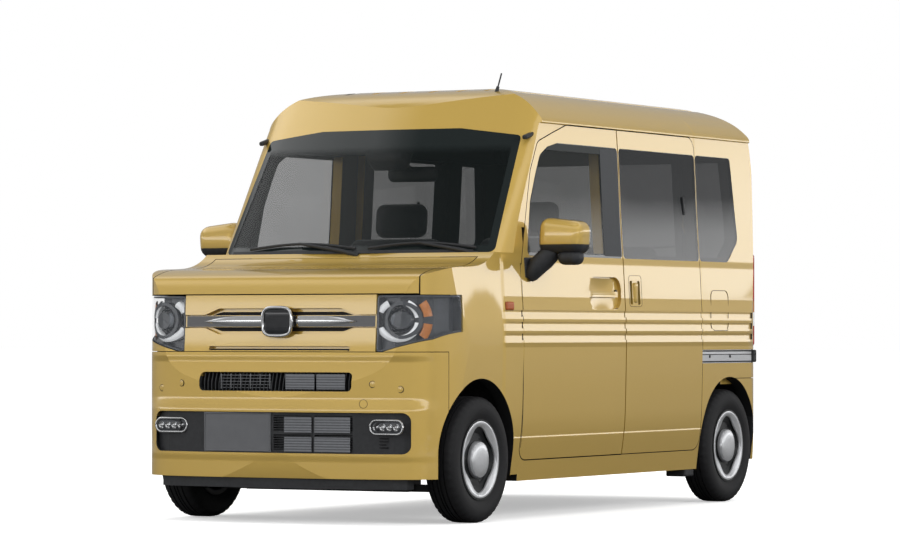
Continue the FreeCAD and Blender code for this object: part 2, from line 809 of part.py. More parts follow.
def slide_window(grow=0.0):
    points = [(slide_front + s.pane_edge, s.belt_height), (slide_rear - s.pane_edge, s.belt_height),
              (slide_rear - s.pane_edge, s.glass_top), (slide_front + s.pane_edge, s.glass_top)]
    return side_prism(points, [s.pane_corner] * 4, grow)


def quarter_window(grow=0.0):
    front = slide_rear + s.shut_line + s.pane_edge
    points = [(front, s.belt_height), (front + s.quarter_length * s.chamfer_share, s.belt_height),
              (front + s.quarter_length, s.belt_height + s.quarter_chamfer),
              (front + s.quarter_length - s.quarter_lean, s.glass_top), (front, s.glass_top)]
    return side_prism(points, [s.pane_corner, s.pillar_bend, s.pillar_bend, s.pane_corner, s.pane_corner], grow)


def screen_region(grow=0.0):
    """Windscreen outline seen from the front, with a crowned top edge."""
    low, high = s.screen_glass_bottom, s.screen_glass_top
    points = [(-s.screen_low_half, low), (s.screen_low_half, low), (s.screen_high_half, high),
              (s.screen_high_half * s.crown_share, high + s.screen_crown),
              (-s.screen_high_half * s.crown_share, high + s.screen_crown), (-s.screen_high_half, high)]
    room = front_prism(points, [s.pane_corner] * 6, grow, -s.body_length, s.screen_rear)
    return room


def rear_window(grow=0.0):
    low, high = s.rear_glass_bottom, s.rear_glass_top
    points = [(-s.rear_glass_half, low), (s.rear_glass_half, low), (s.rear_glass_half - s.rear_glass_taper, high),
              (-s.rear_glass_half + s.rear_glass_taper, high)]
    return front_prism(points, [s.pane_corner] * 4, grow, rear_axle, s.body_length)


gate_hinge_z = s.drip_height - s.moving_gap - hinge_reach
gate_hinge_y = half_length - s.gate_hinge_inset


def gate_region(grow):
    low, high = s.tailgate_bottom, door_top + s.hinge_barrel_radius
    wide, narrow = s.tailgate_half_width, s.tailgate_half_width - s.tailgate_taper
    points = [(-wide, low), (wide, low), (wide, s.tail_lamp_top), (narrow, high), (-narrow, high),
              (-wide, s.tail_lamp_top)]
    room = front_prism(points, [s.door_corner, s.door_corner, 0, 0, 0, 0], grow, rear_axle, s.body_length)
    above = block(-s.body_width, s.body_width, 0, s.body_length, gate_hinge_z, s.body_height + s.overrun)
    curl = rod(V(-s.body_width, gate_hinge_y, gate_hinge_z), V(1, 0, 0), hinge_reach + grow, 2 * s.body_width)
    return room.cut(above).fuse(room.common(above).common(curl)).removeSplitter()


hood_rear = front_axle + s.hood_rear_setback
hood_hinge_y = hood_rear - s.hood_hinge_setback
hood_hinge_z = s.hood_hinge_height
hood_reach = math.hypot(s.hood_hinge_setback, s.hood_hinge_inset)


def hood_region(grow):
    half = s.hood_half_width + grow
    room = block(-half, half, -s.body_length, hood_rear + s.overrun, s.hood_edge_height - grow, s.body_height)
    behind = block(-s.body_width, s.body_width, hood_hinge_y, s.body_length, 0, s.body_height + s.overrun)
    curl = rod(V(-s.body_width, hood_hinge_y, hood_hinge_z), V(1, 0, 0), hood_reach + grow, 2 * s.body_width)
    return room.cut(behind).fuse(room.common(behind).common(curl)).removeSplitter()


def lamp_region(grow=0.0):
    """Room of a headlamp, wrapped around the corner of the nose."""
    edge = half_width + s.overrun
    points = [(s.lamp_inner_x, s.lamp_bottom), (s.lamp_inner_x + s.lamp_foot, s.lamp_bottom),
              (s.lamp_bend_x, s.lamp_bend_height), (edge, s.lamp_tail_height), (edge, s.lamp_top),
              (s.lamp_inner_x, s.lamp_top)]
    return front_prism(points, [s.lamp_corner, s.lamp_corner, s.lamp_corner, 0, 0, s.lamp_corner], grow,
                       -s.body_length, -half_length + s.lamp_side_length + grow)


def arch_tool(y, radius):
    """Wheel arch opening through both sides, open downwards."""
    wide = s.body_width + s.overrun
    hole = rod(V(-wide / 2, y, arch_z), V(1, 0, 0), radius, wide)
    lower = block(-wide / 2, wide / 2, y - radius, y + radius, 0, arch_z)
    return hole.fuse(lower)


def hinge(point, out, edge, length):
    """A hinge about point: the panel's pocket and pin, and the frame's barrel with its arm."""
    along = out.cross(edge)
    m = FreeCAD.Matrix(out.x, edge.x, along.x, point.x, out.y, edge.y, along.y, point.y,
                       out.z, edge.z, along.z, point.z, 0, 0, 0, 1)
    half = length / 2
    room = half + s.moving_gap
    clear = s.hinge_barrel_radius + s.moving_gap
    pocket = block(-s.side_wall * 2, 0, -clear, s.side_wall, -room, room)
    swing = block(-s.side_wall * 2, s.hinge_arm_thick / 2 + s.moving_gap, 0, s.side_wall, -room, room)
    pocket = pocket.fuse([swing, rod(V(0, 0, -room), V(0, 0, 1), clear, 2 * room)])
    pin = rod(V(0, 0, -room - s.pin_bite), V(0, 0, 1), s.hinge_pin_radius, 2 * (room + s.pin_bite))
    barrel = rod(V(0, 0, -half), V(0, 0, 1), s.hinge_barrel_radius, length)
    arm = block(-s.hinge_arm_reach, 0, -s.hinge_arm_thick / 2, s.hinge_arm_thick / 2, -half, half)
    bore = rod(V(0, 0, -room), V(0, 0, 1), s.hinge_pin_radius + s.pin_clearance, 2 * room)
    bracket = barrel.fuse(arm).cut(bore)
    return [placed(piece, m) for piece in (pocket, pin, bracket)]


def placed(piece, matrix):
    piece = piece.copy()
    piece.Placement = FreeCAD.Placement(matrix)
    return piece


# Panels of the left side
door_room, door_hole = door_region(0), door_region(s.moving_gap)
door_swing = rod(V(hinge_x, hinge_y, 0), V(0, 0, 1), hinge_reach + s.moving_gap, s.body_height)
# Notch beside the slanted edge, where the door's skin turns close to the hinge line
door_notch = rod(V(hinge_x, hinge_y, s.belt_height), V(0, 0, 1), s.notch_radius, s.notch_height)
slide_points, slide_radii = slide_outline()
slide_room = side_prism(slide_points, slide_radii)
slide_hole = side_prism(slide_points, slide_radii, s.shut_line)
arches = arch_tool(front_arch_y, s.front_arch_radius).fuse(arch_tool(rear_arch_y, s.rear_arch_radius))
hinges = []
for height in (s.low_hinge_height, s.high_hinge_height):
    hinges.append(hinge(V(hinge_x, hinge_y, height), V(1, 0, 0), V(0, -1, 0), s.hinge_length))
gate_hinges = [hinge(V(side * s.gate_hinge_x, gate_hinge_y, gate_hinge_z), V(0, 1, 0), V(0, 0, 1), s.hinge_length)
               for side in (-1, 1)]
hood_hinges = [hinge(V(side * s.hood_hinge_x, hood_hinge_y, hood_hinge_z), V(0, 0, 1), V(0, 1, 0), s.hinge_length)
               for side in (-1, 1)]


def bead_strips():
    """Shallow grooves that leave raised beads along the flank."""
    strips = []
    for i in range(int(s.bead_count)):
        top = s.bead_top - i * s.bead_pitch
        strips.append(block(0, s.body_width, front_axle + s.bead_start, rear_axle + s.bead_end,
                            top - s.bead_height, top))
    return Part.makeCompound([glass_pocket.common(strip) for strip in strips])


beads = bead_strips()


def tail_lamp_room(grow=0.0):
    return block(s.tailgate_half_width + s.moving_gap - grow, s.body_width,
                 half_length - s.tail_lamp_length - grow, s.body_length,
                 s.tail_lamp_bottom - grow, s.tail_lamp_top + grow)


def slab(y0, y1, z0, z1):
    """A band right across the van between two stations and two heights."""
    return block(-s.body_width, s.body_width, y0, y1, z0, z1)


FRONT, REAR = -s.body_length, s.body_length
TOP = s.body_height + s.overrun
liner_out = s.liner_radius + s.liner_wall
firewall_y = front_axle + s.firewall_setback
lamp_rear = -half_length + s.lamp_side_length


def make_body():
    """Pillars, sills, quarters, cowl and screen frames as one welded shell."""
    wide = s.body_width
    body = shell.cut(slab(FRONT, REAR, s.drip_height, TOP))
    nose = slab(FRONT, door_front - s.fender_gap, 0, s.cowl_height)
    nose = nose.fuse([slab(FRONT, hood_rear + s.moving_gap, 0, TOP),
                      slab(rear_arch_y, REAR, 0, s.rear_bumper_top)])
    body = body.cut(nose).cut(arches)
    body = body.cut([door_hole, mirrored(door_hole)]).cut([slide_hole, mirrored(slide_hole)])
    body = body.cut([gate_region(s.moving_gap), hood_region(s.moving_gap), both(door_notch)])
    body = body.cut(glass_pocket.common(both(quarter_window(s.seat_gap))))
    body = body.cut(both(quarter_window(-s.glass_lap)))
    body = body.cut(glass_pocket.common(screen_region(s.seat_gap)))
    body = body.cut(screen_region(-s.glass_lap))
    body = body.cut(both(tail_lamp_room(s.seat_gap))).cut(both(beads))
    rail = bead_rail_room(0)
    body = body.cut([rail, mirrored(rail)])
    front_edge = front_arch_y + liner_out + s.seat_gap
    rooms = [block(0, wide, door_rear - s.post_width / 2, door_rear + s.post_width / 2, s.sill_clearance,
                   s.drip_height),
             block(0, wide, front_edge, hinge_y + s.hinge_arm_thick, s.sill_clearance, s.cowl_height),
             block(0, wide, slide_rear - s.post_width / 2, slide_rear + s.post_width, s.sill_clearance,
                   s.drip_height),
             block(0, wide, hood_rear, rear_axle + s.post_width, door_top - s.post_width, s.drip_height),
             block(half_width - s.sill_reach, wide, front_edge, rear_arch_y - s.rear_arch_radius,
                   s.sill_clearance, s.floor_height - s.floor_wall)]
    posts = []
    keep_out = [cup_room(front_arch_y, s.liner_radius, s.front_cup_x, s.liner_wall + s.seat_gap),
                cup_room(rear_arch_y, s.rear_liner_radius, s.rear_cup_x, s.liner_wall + s.seat_gap),
                door_swing]
    for room in rooms:
        ring = post_ring if room is not rooms[-1] else post_out
        posts.append(ring.common(room).cut(keep_out))
    outer_sill = block(half_width - s.sill_reach, wide, door_front,
                       rear_arch_y - s.rear_arch_radius, s.sill_clearance, s.door_bottom - s.moving_gap)
    posts.append(outer_sill.common(outer))
    posts.append(tab_ring.common(block(0, wide, front_edge, front_edge + s.tab_width, s.floor_height,
                                       s.cowl_height)).cut(door_swing))
    posts += [bracket for _, _, bracket in hinges]
    posts += [mirrored(post) for post in posts]
    low, high = s.rear_bumper_top - s.tab_width, s.rear_bumper_top + s.tab_width
    tie = tab_ring.common(slab(rear_axle, REAR, low, high).cut(gate_region(s.moving_gap)))
    seat = hollow.cut(tab_far).common(slab(rear_axle, REAR, s.rear_bumper_top, high))
    seat = seat.cut(gate_region(s.moving_gap))
    cross = post_ring.common(slab(gate_hinge_y - s.gate_post_back, gate_hinge_y - s.hinge_arm_reach + s.tab_wall,
                                  gate_hinge_z - s.tab_width, s.drip_height))
    arms = [bracket for _, _, bracket in gate_hinges]
    return body.fuse(posts + [tie, seat, cross] + arms)


def bead_rail_room(depth_gap=0.0):
    """Channel of the sliding door's middle rail in the quarter panel."""
    return rail_skin.common(block(0, s.body_width, slide_rear + s.shut_line, slide_rear + s.rail_length,
                                  s.rail_bottom, s.rail_bottom + s.rail_height))


def make_roof():
    cap = shell.common(slab(FRONT, REAR, s.drip_height, TOP))
    strips = []
    for i in range(int(s.roof_bead_count)):
        x = s.roof_bead_x + i * s.roof_bead_pitch
        for side in (1, -1):
            centre = side * x
            strips.append(block(centre - s.roof_bead_width / 2, centre + s.roof_bead_width / 2,
                                -half_length * s.roof_bead_front_share, half_length * s.roof_bead_rear_share,
                                s.drip_height + s.post_width, TOP))
    return one(cap.cut(Part.makeCompound([glass_pocket.common(strip) for strip in strips])))


def make_front_door():
    door = shell.common(door_room)
    door = door.cut(glass_pocket.common(front_window(s.seat_gap)))
    door = door.cut(front_window(-s.glass_lap, s.pillar_strip - s.glass_lap))
    door = door.cut([pocket for pocket, _, _ in hinges]).fuse([pin for _, pin, _ in hinges])
    points = [(s.dish_front, s.dish_bottom), (s.dish_rear, s.dish_bottom), (s.dish_rear, s.dish_top),
              (s.dish_front, s.dish_top)]
    dish = rail_skin.common(side_prism(points, [s.dish_corner] * 4))
    low, high = s.dish_bar_top - s.dish_bar_height, s.dish_bar_top
    bar = block(0, s.body_width, s.dish_front - s.seam, s.dish_rear - s.dish_bar_end, low, high)
    ends = [block(0, s.body_width, s.dish_front - s.seam, s.dish_front + s.dish_bar_height, low, high),
            block(0, s.body_width, s.dish_rear - s.dish_bar_end - s.dish_bar_height,
                  s.dish_rear - s.dish_bar_end, low, high)]
    door = door.cut(dish).cut(beads)
    return one(door.fuse([glass_skin.common(bar)] + [rail_skin.common(end) for end in ends]))


def make_slide_door():
    door = shell.common(slide_room)
    door = door.cut(glass_pocket.common(slide_window(s.seat_gap))).cut(slide_window(-s.glass_lap))
    rear, top = s.grip_front + s.grip_length, s.grip_bottom + s.grip_height
    points = [(s.grip_front, s.grip_bottom), (rear, s.grip_bottom), (rear, top), (s.grip_front, top)]
    dish = rail_skin.common(side_prism(points, [s.grip_corner] * 4))
    grip = block(0, s.body_width, s.grip_front + s.grip_bar_start, rear - s.grip_bar_start,
                 s.grip_bottom - s.seam, top + s.seam)
    door = door.cut(dish).fuse(rail_skin.common(grip))
    return one(door.cut(arches).cut(beads))


def make_tailgate():
    gate = shell.common(gate_region(0))
    gate = gate.cut(glass_pocket.common(rear_window(s.seat_gap))).cut(rear_window(-s.glass_lap))
    return one(gate.cut([pocket for pocket, _, _ in gate_hinges]).fuse([pin for _, pin, _ in gate_hinges]))


def make_hood():
    lid = shell.common(hood_region(0)).cut([pocket for pocket, _, _ in hood_hinges])
    return one(lid.fuse([pin for _, pin, _ in hood_hinges]))


def bumper_room(grow=0.0):
    edge = front_axle - s.bumper_rear_offset + grow
    return slab(FRONT, edge, 0, s.lamp_bottom - s.seam + grow)


def make_fender():
    wing = left_half(shell).cut(slab(door_front - s.fender_gap, REAR, 0, TOP))
    wing = wing.cut(slab(hood_rear + s.moving_gap, REAR, s.cowl_height, TOP))
    wing = wing.cut([hood_region(s.moving_gap), lamp_region(s.seam), bumper_room(s.seam), arches])
    wing = wing.cut(slab(FRONT, REAR, 0, s.bumper_clearance))
    centre = block(-s.body_width, s.lamp_inner_x, FRONT, 0, 0, TOP)
    return one(wing.cut([centre, door_hole]).cut(beads))


def slot_prism(half, low, high, radius, grow=0.0):
    return front_prism([(-half, low), (half, low), (half, high), (-half, high)], [radius] * 4, grow,
                       FRONT, front_axle)


def make_front_bumper():
    cover = shell.common(bumper_room(0)).cut(slab(FRONT, 0, 0, s.bumper_clearance))
    cover = cover.cut(arches).cut([lamp_region(s.seam), mirrored(lamp_region(s.seam))])
    cover = cover.cut([slot_prism(s.slot_half, s.slot_bottom, s.slot_top, s.slot_corner),
                       slot_prism(s.intake_half, s.intake_bottom, s.intake_top, s.intake_corner)])
    return one(cover)


def make_grille():
    """The panel between the lamps, with its pinched channel and cross bar."""
    half = s.lamp_inner_x - s.seam
    panel = shell.common(block(-half, half, FRONT, front_axle - s.bumper_rear_offset, s.lamp_bottom,
                               s.hood_edge_height - s.moving_gap))
    mid = (s.bar_bottom + s.bar_top) / 2
    tall, thin = s.channel_height / 2, (s.bar_top - s.bar_bottom) / 2 + s.channel_margin
    channel_points = [(-half - s.overrun, mid - thin), (-s.channel_half - s.channel_slope, mid - thin),
                      (-s.channel_half, mid - tall), (s.channel_half, mid - tall),
                      (s.channel_half + s.channel_slope, mid - thin), (half + s.overrun, mid - thin),
                      (half + s.overrun, mid + thin), (s.channel_half + s.channel_slope, mid + thin),
                      (s.channel_half, mid + tall), (-s.channel_half, mid + tall),
                      (-s.channel_half - s.channel_slope, mid + thin), (-half - s.overrun, mid + thin)]
    channel = front_prism(channel_points, [0, s.slot_corner, s.slot_corner, s.slot_corner, s.slot_corner, 0,
                                           0, s.slot_corner, s.slot_corner, s.slot_corner, s.slot_corner, 0],
                          0.0, FRONT, 0)
    panel = panel.cut(channel_skin.common(channel))
    bar = block(-half, half, FRONT, front_axle, s.bar_bottom, s.bar_top)
    bar = channel_skin.cut(glass_pocket.common(nose_room)).common(bar)
    badge = rod(V(0, -half_length + s.badge_setback, mid), V(0, 1, 0), s.badge_radius, s.badge_depth)
    lower = slot_prism(s.lower_slot_half, s.lower_slot_bottom, s.lower_slot_bottom + s.lower_slot_height,
                       s.lower_slot_height / 2 - s.seam / 2)
    return one(panel.cut(channel_skin.common(lower))).fuse([bar, badge])


def make_lamp_housing():
    """Dark bowl behind the clear cover, with a round projector."""
    bowl = lamp_body.common(lamp_region(0))
    bowl = bowl.cut(lamp_cavity.common(lamp_region(-s.lamp_wall)))
    bowl = one(bowl)
    projector = rod(V(s.projector_x, -half_length + s.projector_setback, s.projector_height), V(0, 1, 0),
                    s.projector_radius, s.projector_depth)
    ring = rod(V(s.projector_x, -half_length + s.projector_setback, s.projector_height), V(0, 1, 0),
               s.ring_radius, s.projector_depth).cut(
               rod(V(s.projector_x, -half_length + s.projector_setback, s.projector_height), V(0, 1, 0),
                   s.ring_radius - s.ring_wall, s.projector_depth))
    front_face = lamp_body.common(lamp_region(-s.lamp_wall))
    return both(one(bowl.fuse([front_face.common(projector.fuse(ring))])))


def make_front_structure():
    """Inner frame of the nose, which carries the bumper, the grille panel, the lamps and the fenders."""
    end = firewall_y
    tab = s.tab_width
    top = s.hood_edge_height - s.moving_gap * 4
    bumper_rear = front_axle - s.bumper_rear_offset
    bands = [slab(FRONT, lamp_rear + tab, s.lamp_bottom - tab, s.lamp_bottom + tab / 2),
             slab(FRONT, lamp_rear, top - tab, top),
             slab(bumper_rear - tab, bumper_rear + tab, arch_z + s.front_arch_radius / 2, s.lamp_bottom),
             slab(lamp_rear - tab, lamp_rear + tab, s.lamp_bottom - tab, top),
             slab(FRONT, bumper_rear, s.intake_bottom - tab * 2, s.intake_bottom - s.moving_gap)]
    for side in (1, -1):
        bands.append(block(side * s.lamp_inner_x - tab / 2, side * s.lamp_inner_x + tab / 2, FRONT, bumper_rear,
                           s.intake_bottom - tab * 2, top))
    ring = tab_ring.common(bands[0].fuse(bands[1:])).cut(arches)
    rails = []
    for side in (1, -1):
        x = side * s.rail_x
        rails.append(block(x - s.rail_side / 2, x + s.rail_side / 2, -half_length + s.side_wall + s.tab_wall * 5,
                           end - s.seat_gap, s.frame_height, s.frame_height + s.rail_side))
    cross = block(-s.rail_x, s.rail_x, front_axle - s.rail_side, firewall_y - s.seat_gap,
                  s.frame_height - s.rail_side / 2, s.frame_height + s.rail_side / 2)
    post_rooms = [block(side * s.rail_x - s.rail_side / 2, side * s.rail_x + s.rail_side / 2, FRONT,
                        -half_length + s.side_wall + s.tab_wall * 6, s.intake_bottom - tab * 2, s.lamp_bottom)
                  for side in (1, -1)]
    uprights = [tab_deep.common(room) for room in post_rooms]
    frame = ring.fuse(rails + uprights + [cross])
    cup = cup_room(front_arch_y, s.liner_radius, s.front_cup_x, s.liner_wall + s.seat_gap)
    return one(frame.cut([cup, mirrored(cup)]))


tab_near, tab_far = whole(s.side_wall + s.seat_gap, False), whole(s.side_wall + s.seat_gap + s.tab_wall, False)
tab_ring = tab_near.cut(tab_far)
tab_deep = tab_near.cut(whole(s.side_wall + s.seat_gap + s.tab_wall * 3, False))
nose_room = slab(FRONT, lamp_rear + s.overrun, 0, s.screen_base_height)
outer_nose, glass_in_nose = outer.common(nose_room), glass_in.common(nose_room)
rail_skin = outer.cut(whole(s.rail_depth, False))
channel_skin = outer_nose.cut(whole(s.channel_depth, False))
lamp_body = glass_in_nose.cut(hollow)
lamp_cavity = glass_in_nose.cut(whole(s.lamp_cavity_depth, False))


def make_lamp_cover():
    return both(one(glass_skin.common(lamp_region(0))))


def make_windscreen():
    return one(glass_skin.common(screen_region(0)))


def make_side_glass():
    panes = [one(glass_skin.common(slide_window(0))), one(glass_skin.common(quarter_window(0)))]
    return Part.makeCompound(panes + [mirrored(pane) for pane in panes])


def make_door_glass():
    return one(glass_skin.common(front_window(0)))


def make_rear_glass():
    return one(glass_skin.common(rear_window(0)))


def make_rear_bumper():
    cover = shell.common(slab(rear_arch_y, REAR, s.bumper_clearance, s.rear_bumper_top - s.seam))
    return one(cover.cut(arches).cut(gate_region(s.moving_gap)))


def make_tail_lamps():
    return both(one(shell.common(tail_lamp_room(0))))


def make_rails():
    strip = rail_skin.common(block(0, s.body_width, slide_rear + s.shut_line + s.seat_gap,
                                   slide_rear + s.rail_length - s.seat_gap, s.rail_bottom + s.seat_gap,
                                   s.rail_bottom + s.rail_height - s.seat_gap))
    proud = whole(s.rail_depth * s.rail_sink_share, False)
    return both(one(strip.common(proud)))


def floor_room():
    """Side view of the floor with its footwell, seat box, passenger floor and load floor."""
    w = s.floor_wall
    top = [(firewall_y + s.bulkhead_wall, s.floor_height), (s.seat_box_front, s.floor_height),
           (s.seat_box_front, s.seat_box_height), (s.seat_box_rear, s.seat_box_height),
           (s.seat_box_rear, s.rear_floor_height), (s.cargo_front, s.rear_floor_height),
           (s.cargo_front, s.cargo_height), (s.cargo_rear, s.cargo_height)]
    under = [(s.cargo_rear, s.cargo_height - w), (s.cargo_front + w, s.cargo_height - w),
             (s.cargo_front + w, s.rear_floor_height - w), (s.seat_box_rear - w, s.rear_floor_height - w),
             (s.seat_box_rear - w, s.seat_box_height - w), (s.seat_box_front + w, s.seat_box_height - w),
             (s.seat_box_front + w, s.floor_height - w), (firewall_y, s.floor_height - w)]
    points = [V(-s.body_width, y, z) for y, z in top + under]
    return polygon(points).extrude(V(2 * s.body_width, 0, 0))


def cup_room(y, radius, inner_x, grow):
    """Outer form of a wheelhouse, from its inner wall outwards."""
    x0 = inner_x - grow
    room = rod(V(x0, y, arch_z), V(1, 0, 0), radius + grow, half_width - x0)
    return room.fuse(block(x0, half_width, y - radius - grow, y + radius + grow, 0, arch_z))


def make_floor():
    floor = post_out.common(floor_room())
    wall = tab_near.common(slab(firewall_y, firewall_y + s.bulkhead_wall, s.floor_height - s.floor_wall,
                                s.firewall_height))
    shelf = tab_near.common(slab(firewall_y, s.shelf_rear, s.firewall_height - s.bulkhead_wall,
                                 s.firewall_height))
    riser = tab_near.common(slab(s.shelf_rear - s.bulkhead_wall, s.shelf_rear, s.firewall_height - s.bulkhead_wall,
                                 TOP)).common(slab(FRONT, REAR, 0, s.screen_base_height))
    floor = floor.fuse([wall, shelf, riser])
    cups = []
    for y, radius, x in ((front_arch_y, s.liner_radius, s.front_cup_x), (rear_arch_y, s.rear_liner_radius,
                                                                       s.rear_cup_x)):
        cup = cup_room(y, radius, x, s.liner_wall + s.seat_gap)
        cups += [cup, mirrored(cup)]
    floor = floor.cut(cups)
    floor = floor.cut([door_swing, mirrored(door_swing)])
    return one(floor.cut(body_posts).fuse([bracket for _, _, bracket in hood_hinges]))


def make_wheelhouses():
    cups = []
    for y, radius, x in ((front_arch_y, s.liner_radius, s.front_cup_x), (rear_arch_y, s.rear_liner_radius,
                                                                       s.rear_cup_x)):
        cup = cup_room(y, radius, x, s.liner_wall).cut(cup_room(y, radius, x, 0))
        cup = cup.common(tab_near).cut(slab(FRONT, REAR, 0, s.floor_height - s.floor_wall))
        cup = cup.cut(rod(V(s.kingpin_x, front_axle, 0), V(0, 0, 1), s.strut_radius + s.seat_gap, TOP))
        cup = cup.cut(block(0, half_width, rear_axle - s.axle_window, rear_axle + s.axle_window, 0,
                            s.tyre_radius + s.axle_window))
        cups.append(one(cup.cut(body_posts)))
    return Part.makeCompound(cups + [mirrored(cup) for cup in cups])


column_way = V(0, -math.cos(math.radians(s.column_angle)), -math.sin(math.radians(s.column_angle)))
wheel_centre = V(-s.seat_x, s.steering_y, s.steering_z)


def column_point(distance):
    return wheel_centre + column_way * distance


def make_dashboard():
    points = [(s.dash_front, s.dash_bottom), (s.dash_front, s.dash_top - s.dash_slope), (s.dash_crown, s.dash_top),
              (s.dash_rear - s.dash_slope, s.dash_top), (s.dash_rear, s.dash_top - s.dash_slope),
              (s.dash_rear, s.dash_shelf), (s.dash_rear - s.dash_slope * 2, s.dash_bottom)]
    wire = rounded([V(-s.dash_half, y, z) for y, z in points], [s.dash_round] * len(points))
    dash = Part.Face(wire).extrude(V(2 * s.dash_half, 0, 0))
    hood = rod(column_point(s.column_gap), column_way, s.column_radius, s.column_length)
    dash = dash.fuse(hood)
    bore = rod(column_point(0), column_way, s.shaft_radius + s.pin_clearance, s.column_length * 2)
    for y, radius, x in ((front_arch_y, s.liner_radius, s.front_cup_x),):
        cup = cup_room(y, radius, x, s.liner_wall + s.seat_gap)
        dash = dash.cut([cup, mirrored(cup)])
    return one(dash.cut(bore).common(tab_near))


def make_steering_wheel():
    """Rim, hub, three spokes and the shaft, built upright and leant onto the column."""
    pieces = [primitive("Torus", "steering_rim_ring", {"Radius1": "steering_radius", "Radius2": "steering_rim"}, ()),
              bar("steering_boss", "column_radius", "steering_hub", ("0", "0", "-steering_hub / 2")),
              bar("steering_shaft", "shaft_radius", "column_length", ("0", "0", "-column_length"))]
    corners = {0: ("0", "-spoke_width / 2"), 180: ("0", "spoke_width / 2"), 270: ("-spoke_width / 2", "0")}
    for angle, (x, y) in corners.items():
        pieces.append(brick("spoke_%d" % angle, "steering_radius", "spoke_width", "spoke_wall",
                            (x, y, "-spoke_wall / 2"), FreeCAD.Rotation(V(0, 0, 1), angle)))
    wheel = fused("steering_wheel", pieces)
    wheel.Placement = FreeCAD.Placement(wheel_centre, FreeCAD.Rotation(V(0, 0, 1), column_way * -1))
    return bind(wheel, {}, ("-seat_x", "steering_y", "steering_z"))


def seat_profile(points, width, x, radius):
    wire = rounded([V(x - width / 2, y, z) for y, z in points], [radius] * len(points))
    return Part.Face(wire).extrude(V(width, 0, 0))


def make_seat(x, front, low, depth, width, base_height=0.0, head=True):
    """A cushion with its backrest and, in front, a head restraint."""
    thick, gap = s.seat_thickness, s.seat_gap
    base = low + gap + base_height
    cushion = seat_profile([(front, base), (front + depth, base), (front + depth, base + thick),
                            (front, base + thick)], width, x, s.seat_round)
    lean = s.back_lean
    foot = front + depth - thick * s.back_bite_share
    top = base + s.seat_back_height
    back = seat_profile([(foot, base + thick / 2), (foot + thick, base + thick / 2),
                         (foot + thick + lean, top), (foot + lean, top)], width, x, s.seat_round)
    seat = cushion.fuse(back)
    if base_height:
        seat = seat.fuse(block(x - width / 2 + s.seat_round, x + width / 2 - s.seat_round, front + s.seat_round,
                               front + depth - s.seat_round * 3, low + gap, base + s.seat_round))
    if head:
        rise = s.head_height
        post = block(x - s.head_width / 4, x + s.head_width / 4, foot + lean + thick / 3, foot + lean + thick / 2,
                     top - s.seat_round, top + s.head_gap + s.seat_round)
        rest = seat_profile([(foot + lean, top + s.head_gap), (foot + lean + s.head_thick, top + s.head_gap),
                             (foot + lean + s.head_thick, top + s.head_gap + rise),
                             (foot + lean, top + s.head_gap + rise)], s.head_width, x, s.seat_round)
        seat = seat.fuse([post, rest])
    return seat


def make_mirror():
    """Left door mirror: foot on the door, arm and rounded head."""
    head = Part.makeBox(s.mirror_reach, s.mirror_length, s.mirror_height,
                        V(s.mirror_inner_x, s.mirror_y - s.mirror_length / 2, s.mirror_bottom))
    head = head.makeFillet(s.mirror_round, head.Edges)
    arm = block(s.mirror_foot_x, s.mirror_inner_x + s.mirror_round * 2, s.mirror_y - s.mirror_arm / 2,
                s.mirror_y + s.mirror_arm / 2, s.mirror_bottom - s.mirror_drop, s.mirror_bottom + s.mirror_round)
    foot = block(s.mirror_foot_x - s.mirror_arm, s.mirror_foot_x + s.mirror_arm, s.mirror_y - s.mirror_arm * 2,
                 s.mirror_y + s.mirror_arm, s.mirror_bottom - s.mirror_drop, s.mirror_bottom + s.mirror_round)
    form = head.fuse([arm, foot])
    near = outer.common(block(0, s.body_width, s.mirror_y - s.overrun, s.mirror_y + s.overrun,
                              s.mirror_bottom - s.overrun, s.mirror_bottom + s.mirror_height))
    near.translate(V(s.seat_gap, 0, 0))
    return one(form.cut(near))


def fog_room(grow=0.0):
    """Long oval of the left fog lamp."""
    x0, x1 = s.fog_x - s.fog_length / 2, s.fog_x + s.fog_length / 2
    z0, z1 = s.fog_height - s.fog_tall / 2, s.fog_height + s.fog_tall / 2
    return front_prism([(x0, z0), (x1, z0), (x1, z1), (x0, z1)], [s.fog_tall / 2 - s.seam] * 4, grow, FRONT,
                       front_axle)


def make_intake():
    """Black grille of the lower opening, with its fins, bars and fog lamp bowls."""
    room = slot_prism(s.intake_half, s.intake_bottom, s.intake_top, s.intake_corner, -s.seat_gap)
    open_room = block(-s.seam, s.fin_right, FRONT, 0, s.intake_bottom + s.frame_edge, s.intake_top - s.frame_edge)
    fins = []
    count = int(s.fin_count)
    pitch = (s.intake_top - s.intake_bottom - 2 * s.frame_edge) / count
    for i in range(count):
        z = s.intake_bottom + s.frame_edge + (i + 1 / 2) * pitch
        fins.append(block(-s.seam, s.fin_right, FRONT, 0, z - s.fin_wall / 2, z + s.fin_wall / 2))
    mid = (s.intake_bottom + s.intake_top) / 2
    cross = block(-s.seam, s.fin_right, FRONT, 0, mid - s.fin_wall * 2, mid + s.fin_wall * 2)
    centre = (s.fin_right - s.seam) / 2
    post = block(centre - s.fin_wall * 2, centre + s.fin_wall * 2, FRONT, 0, s.intake_bottom, s.intake_top)
    fins = fins[0].fuse(fins[1:] + [cross, post])
    face = intake_front.common(room)
    bowls = both(fog_room(-s.fog_wall))
    rims = lamp_cavity.common(both(fog_room()).cut(bowls))
    fins = face.common(fins)
    face = face.cut([open_room, bowls])
    return one(face.fuse([intake_skin.common(room), fins, rims]))


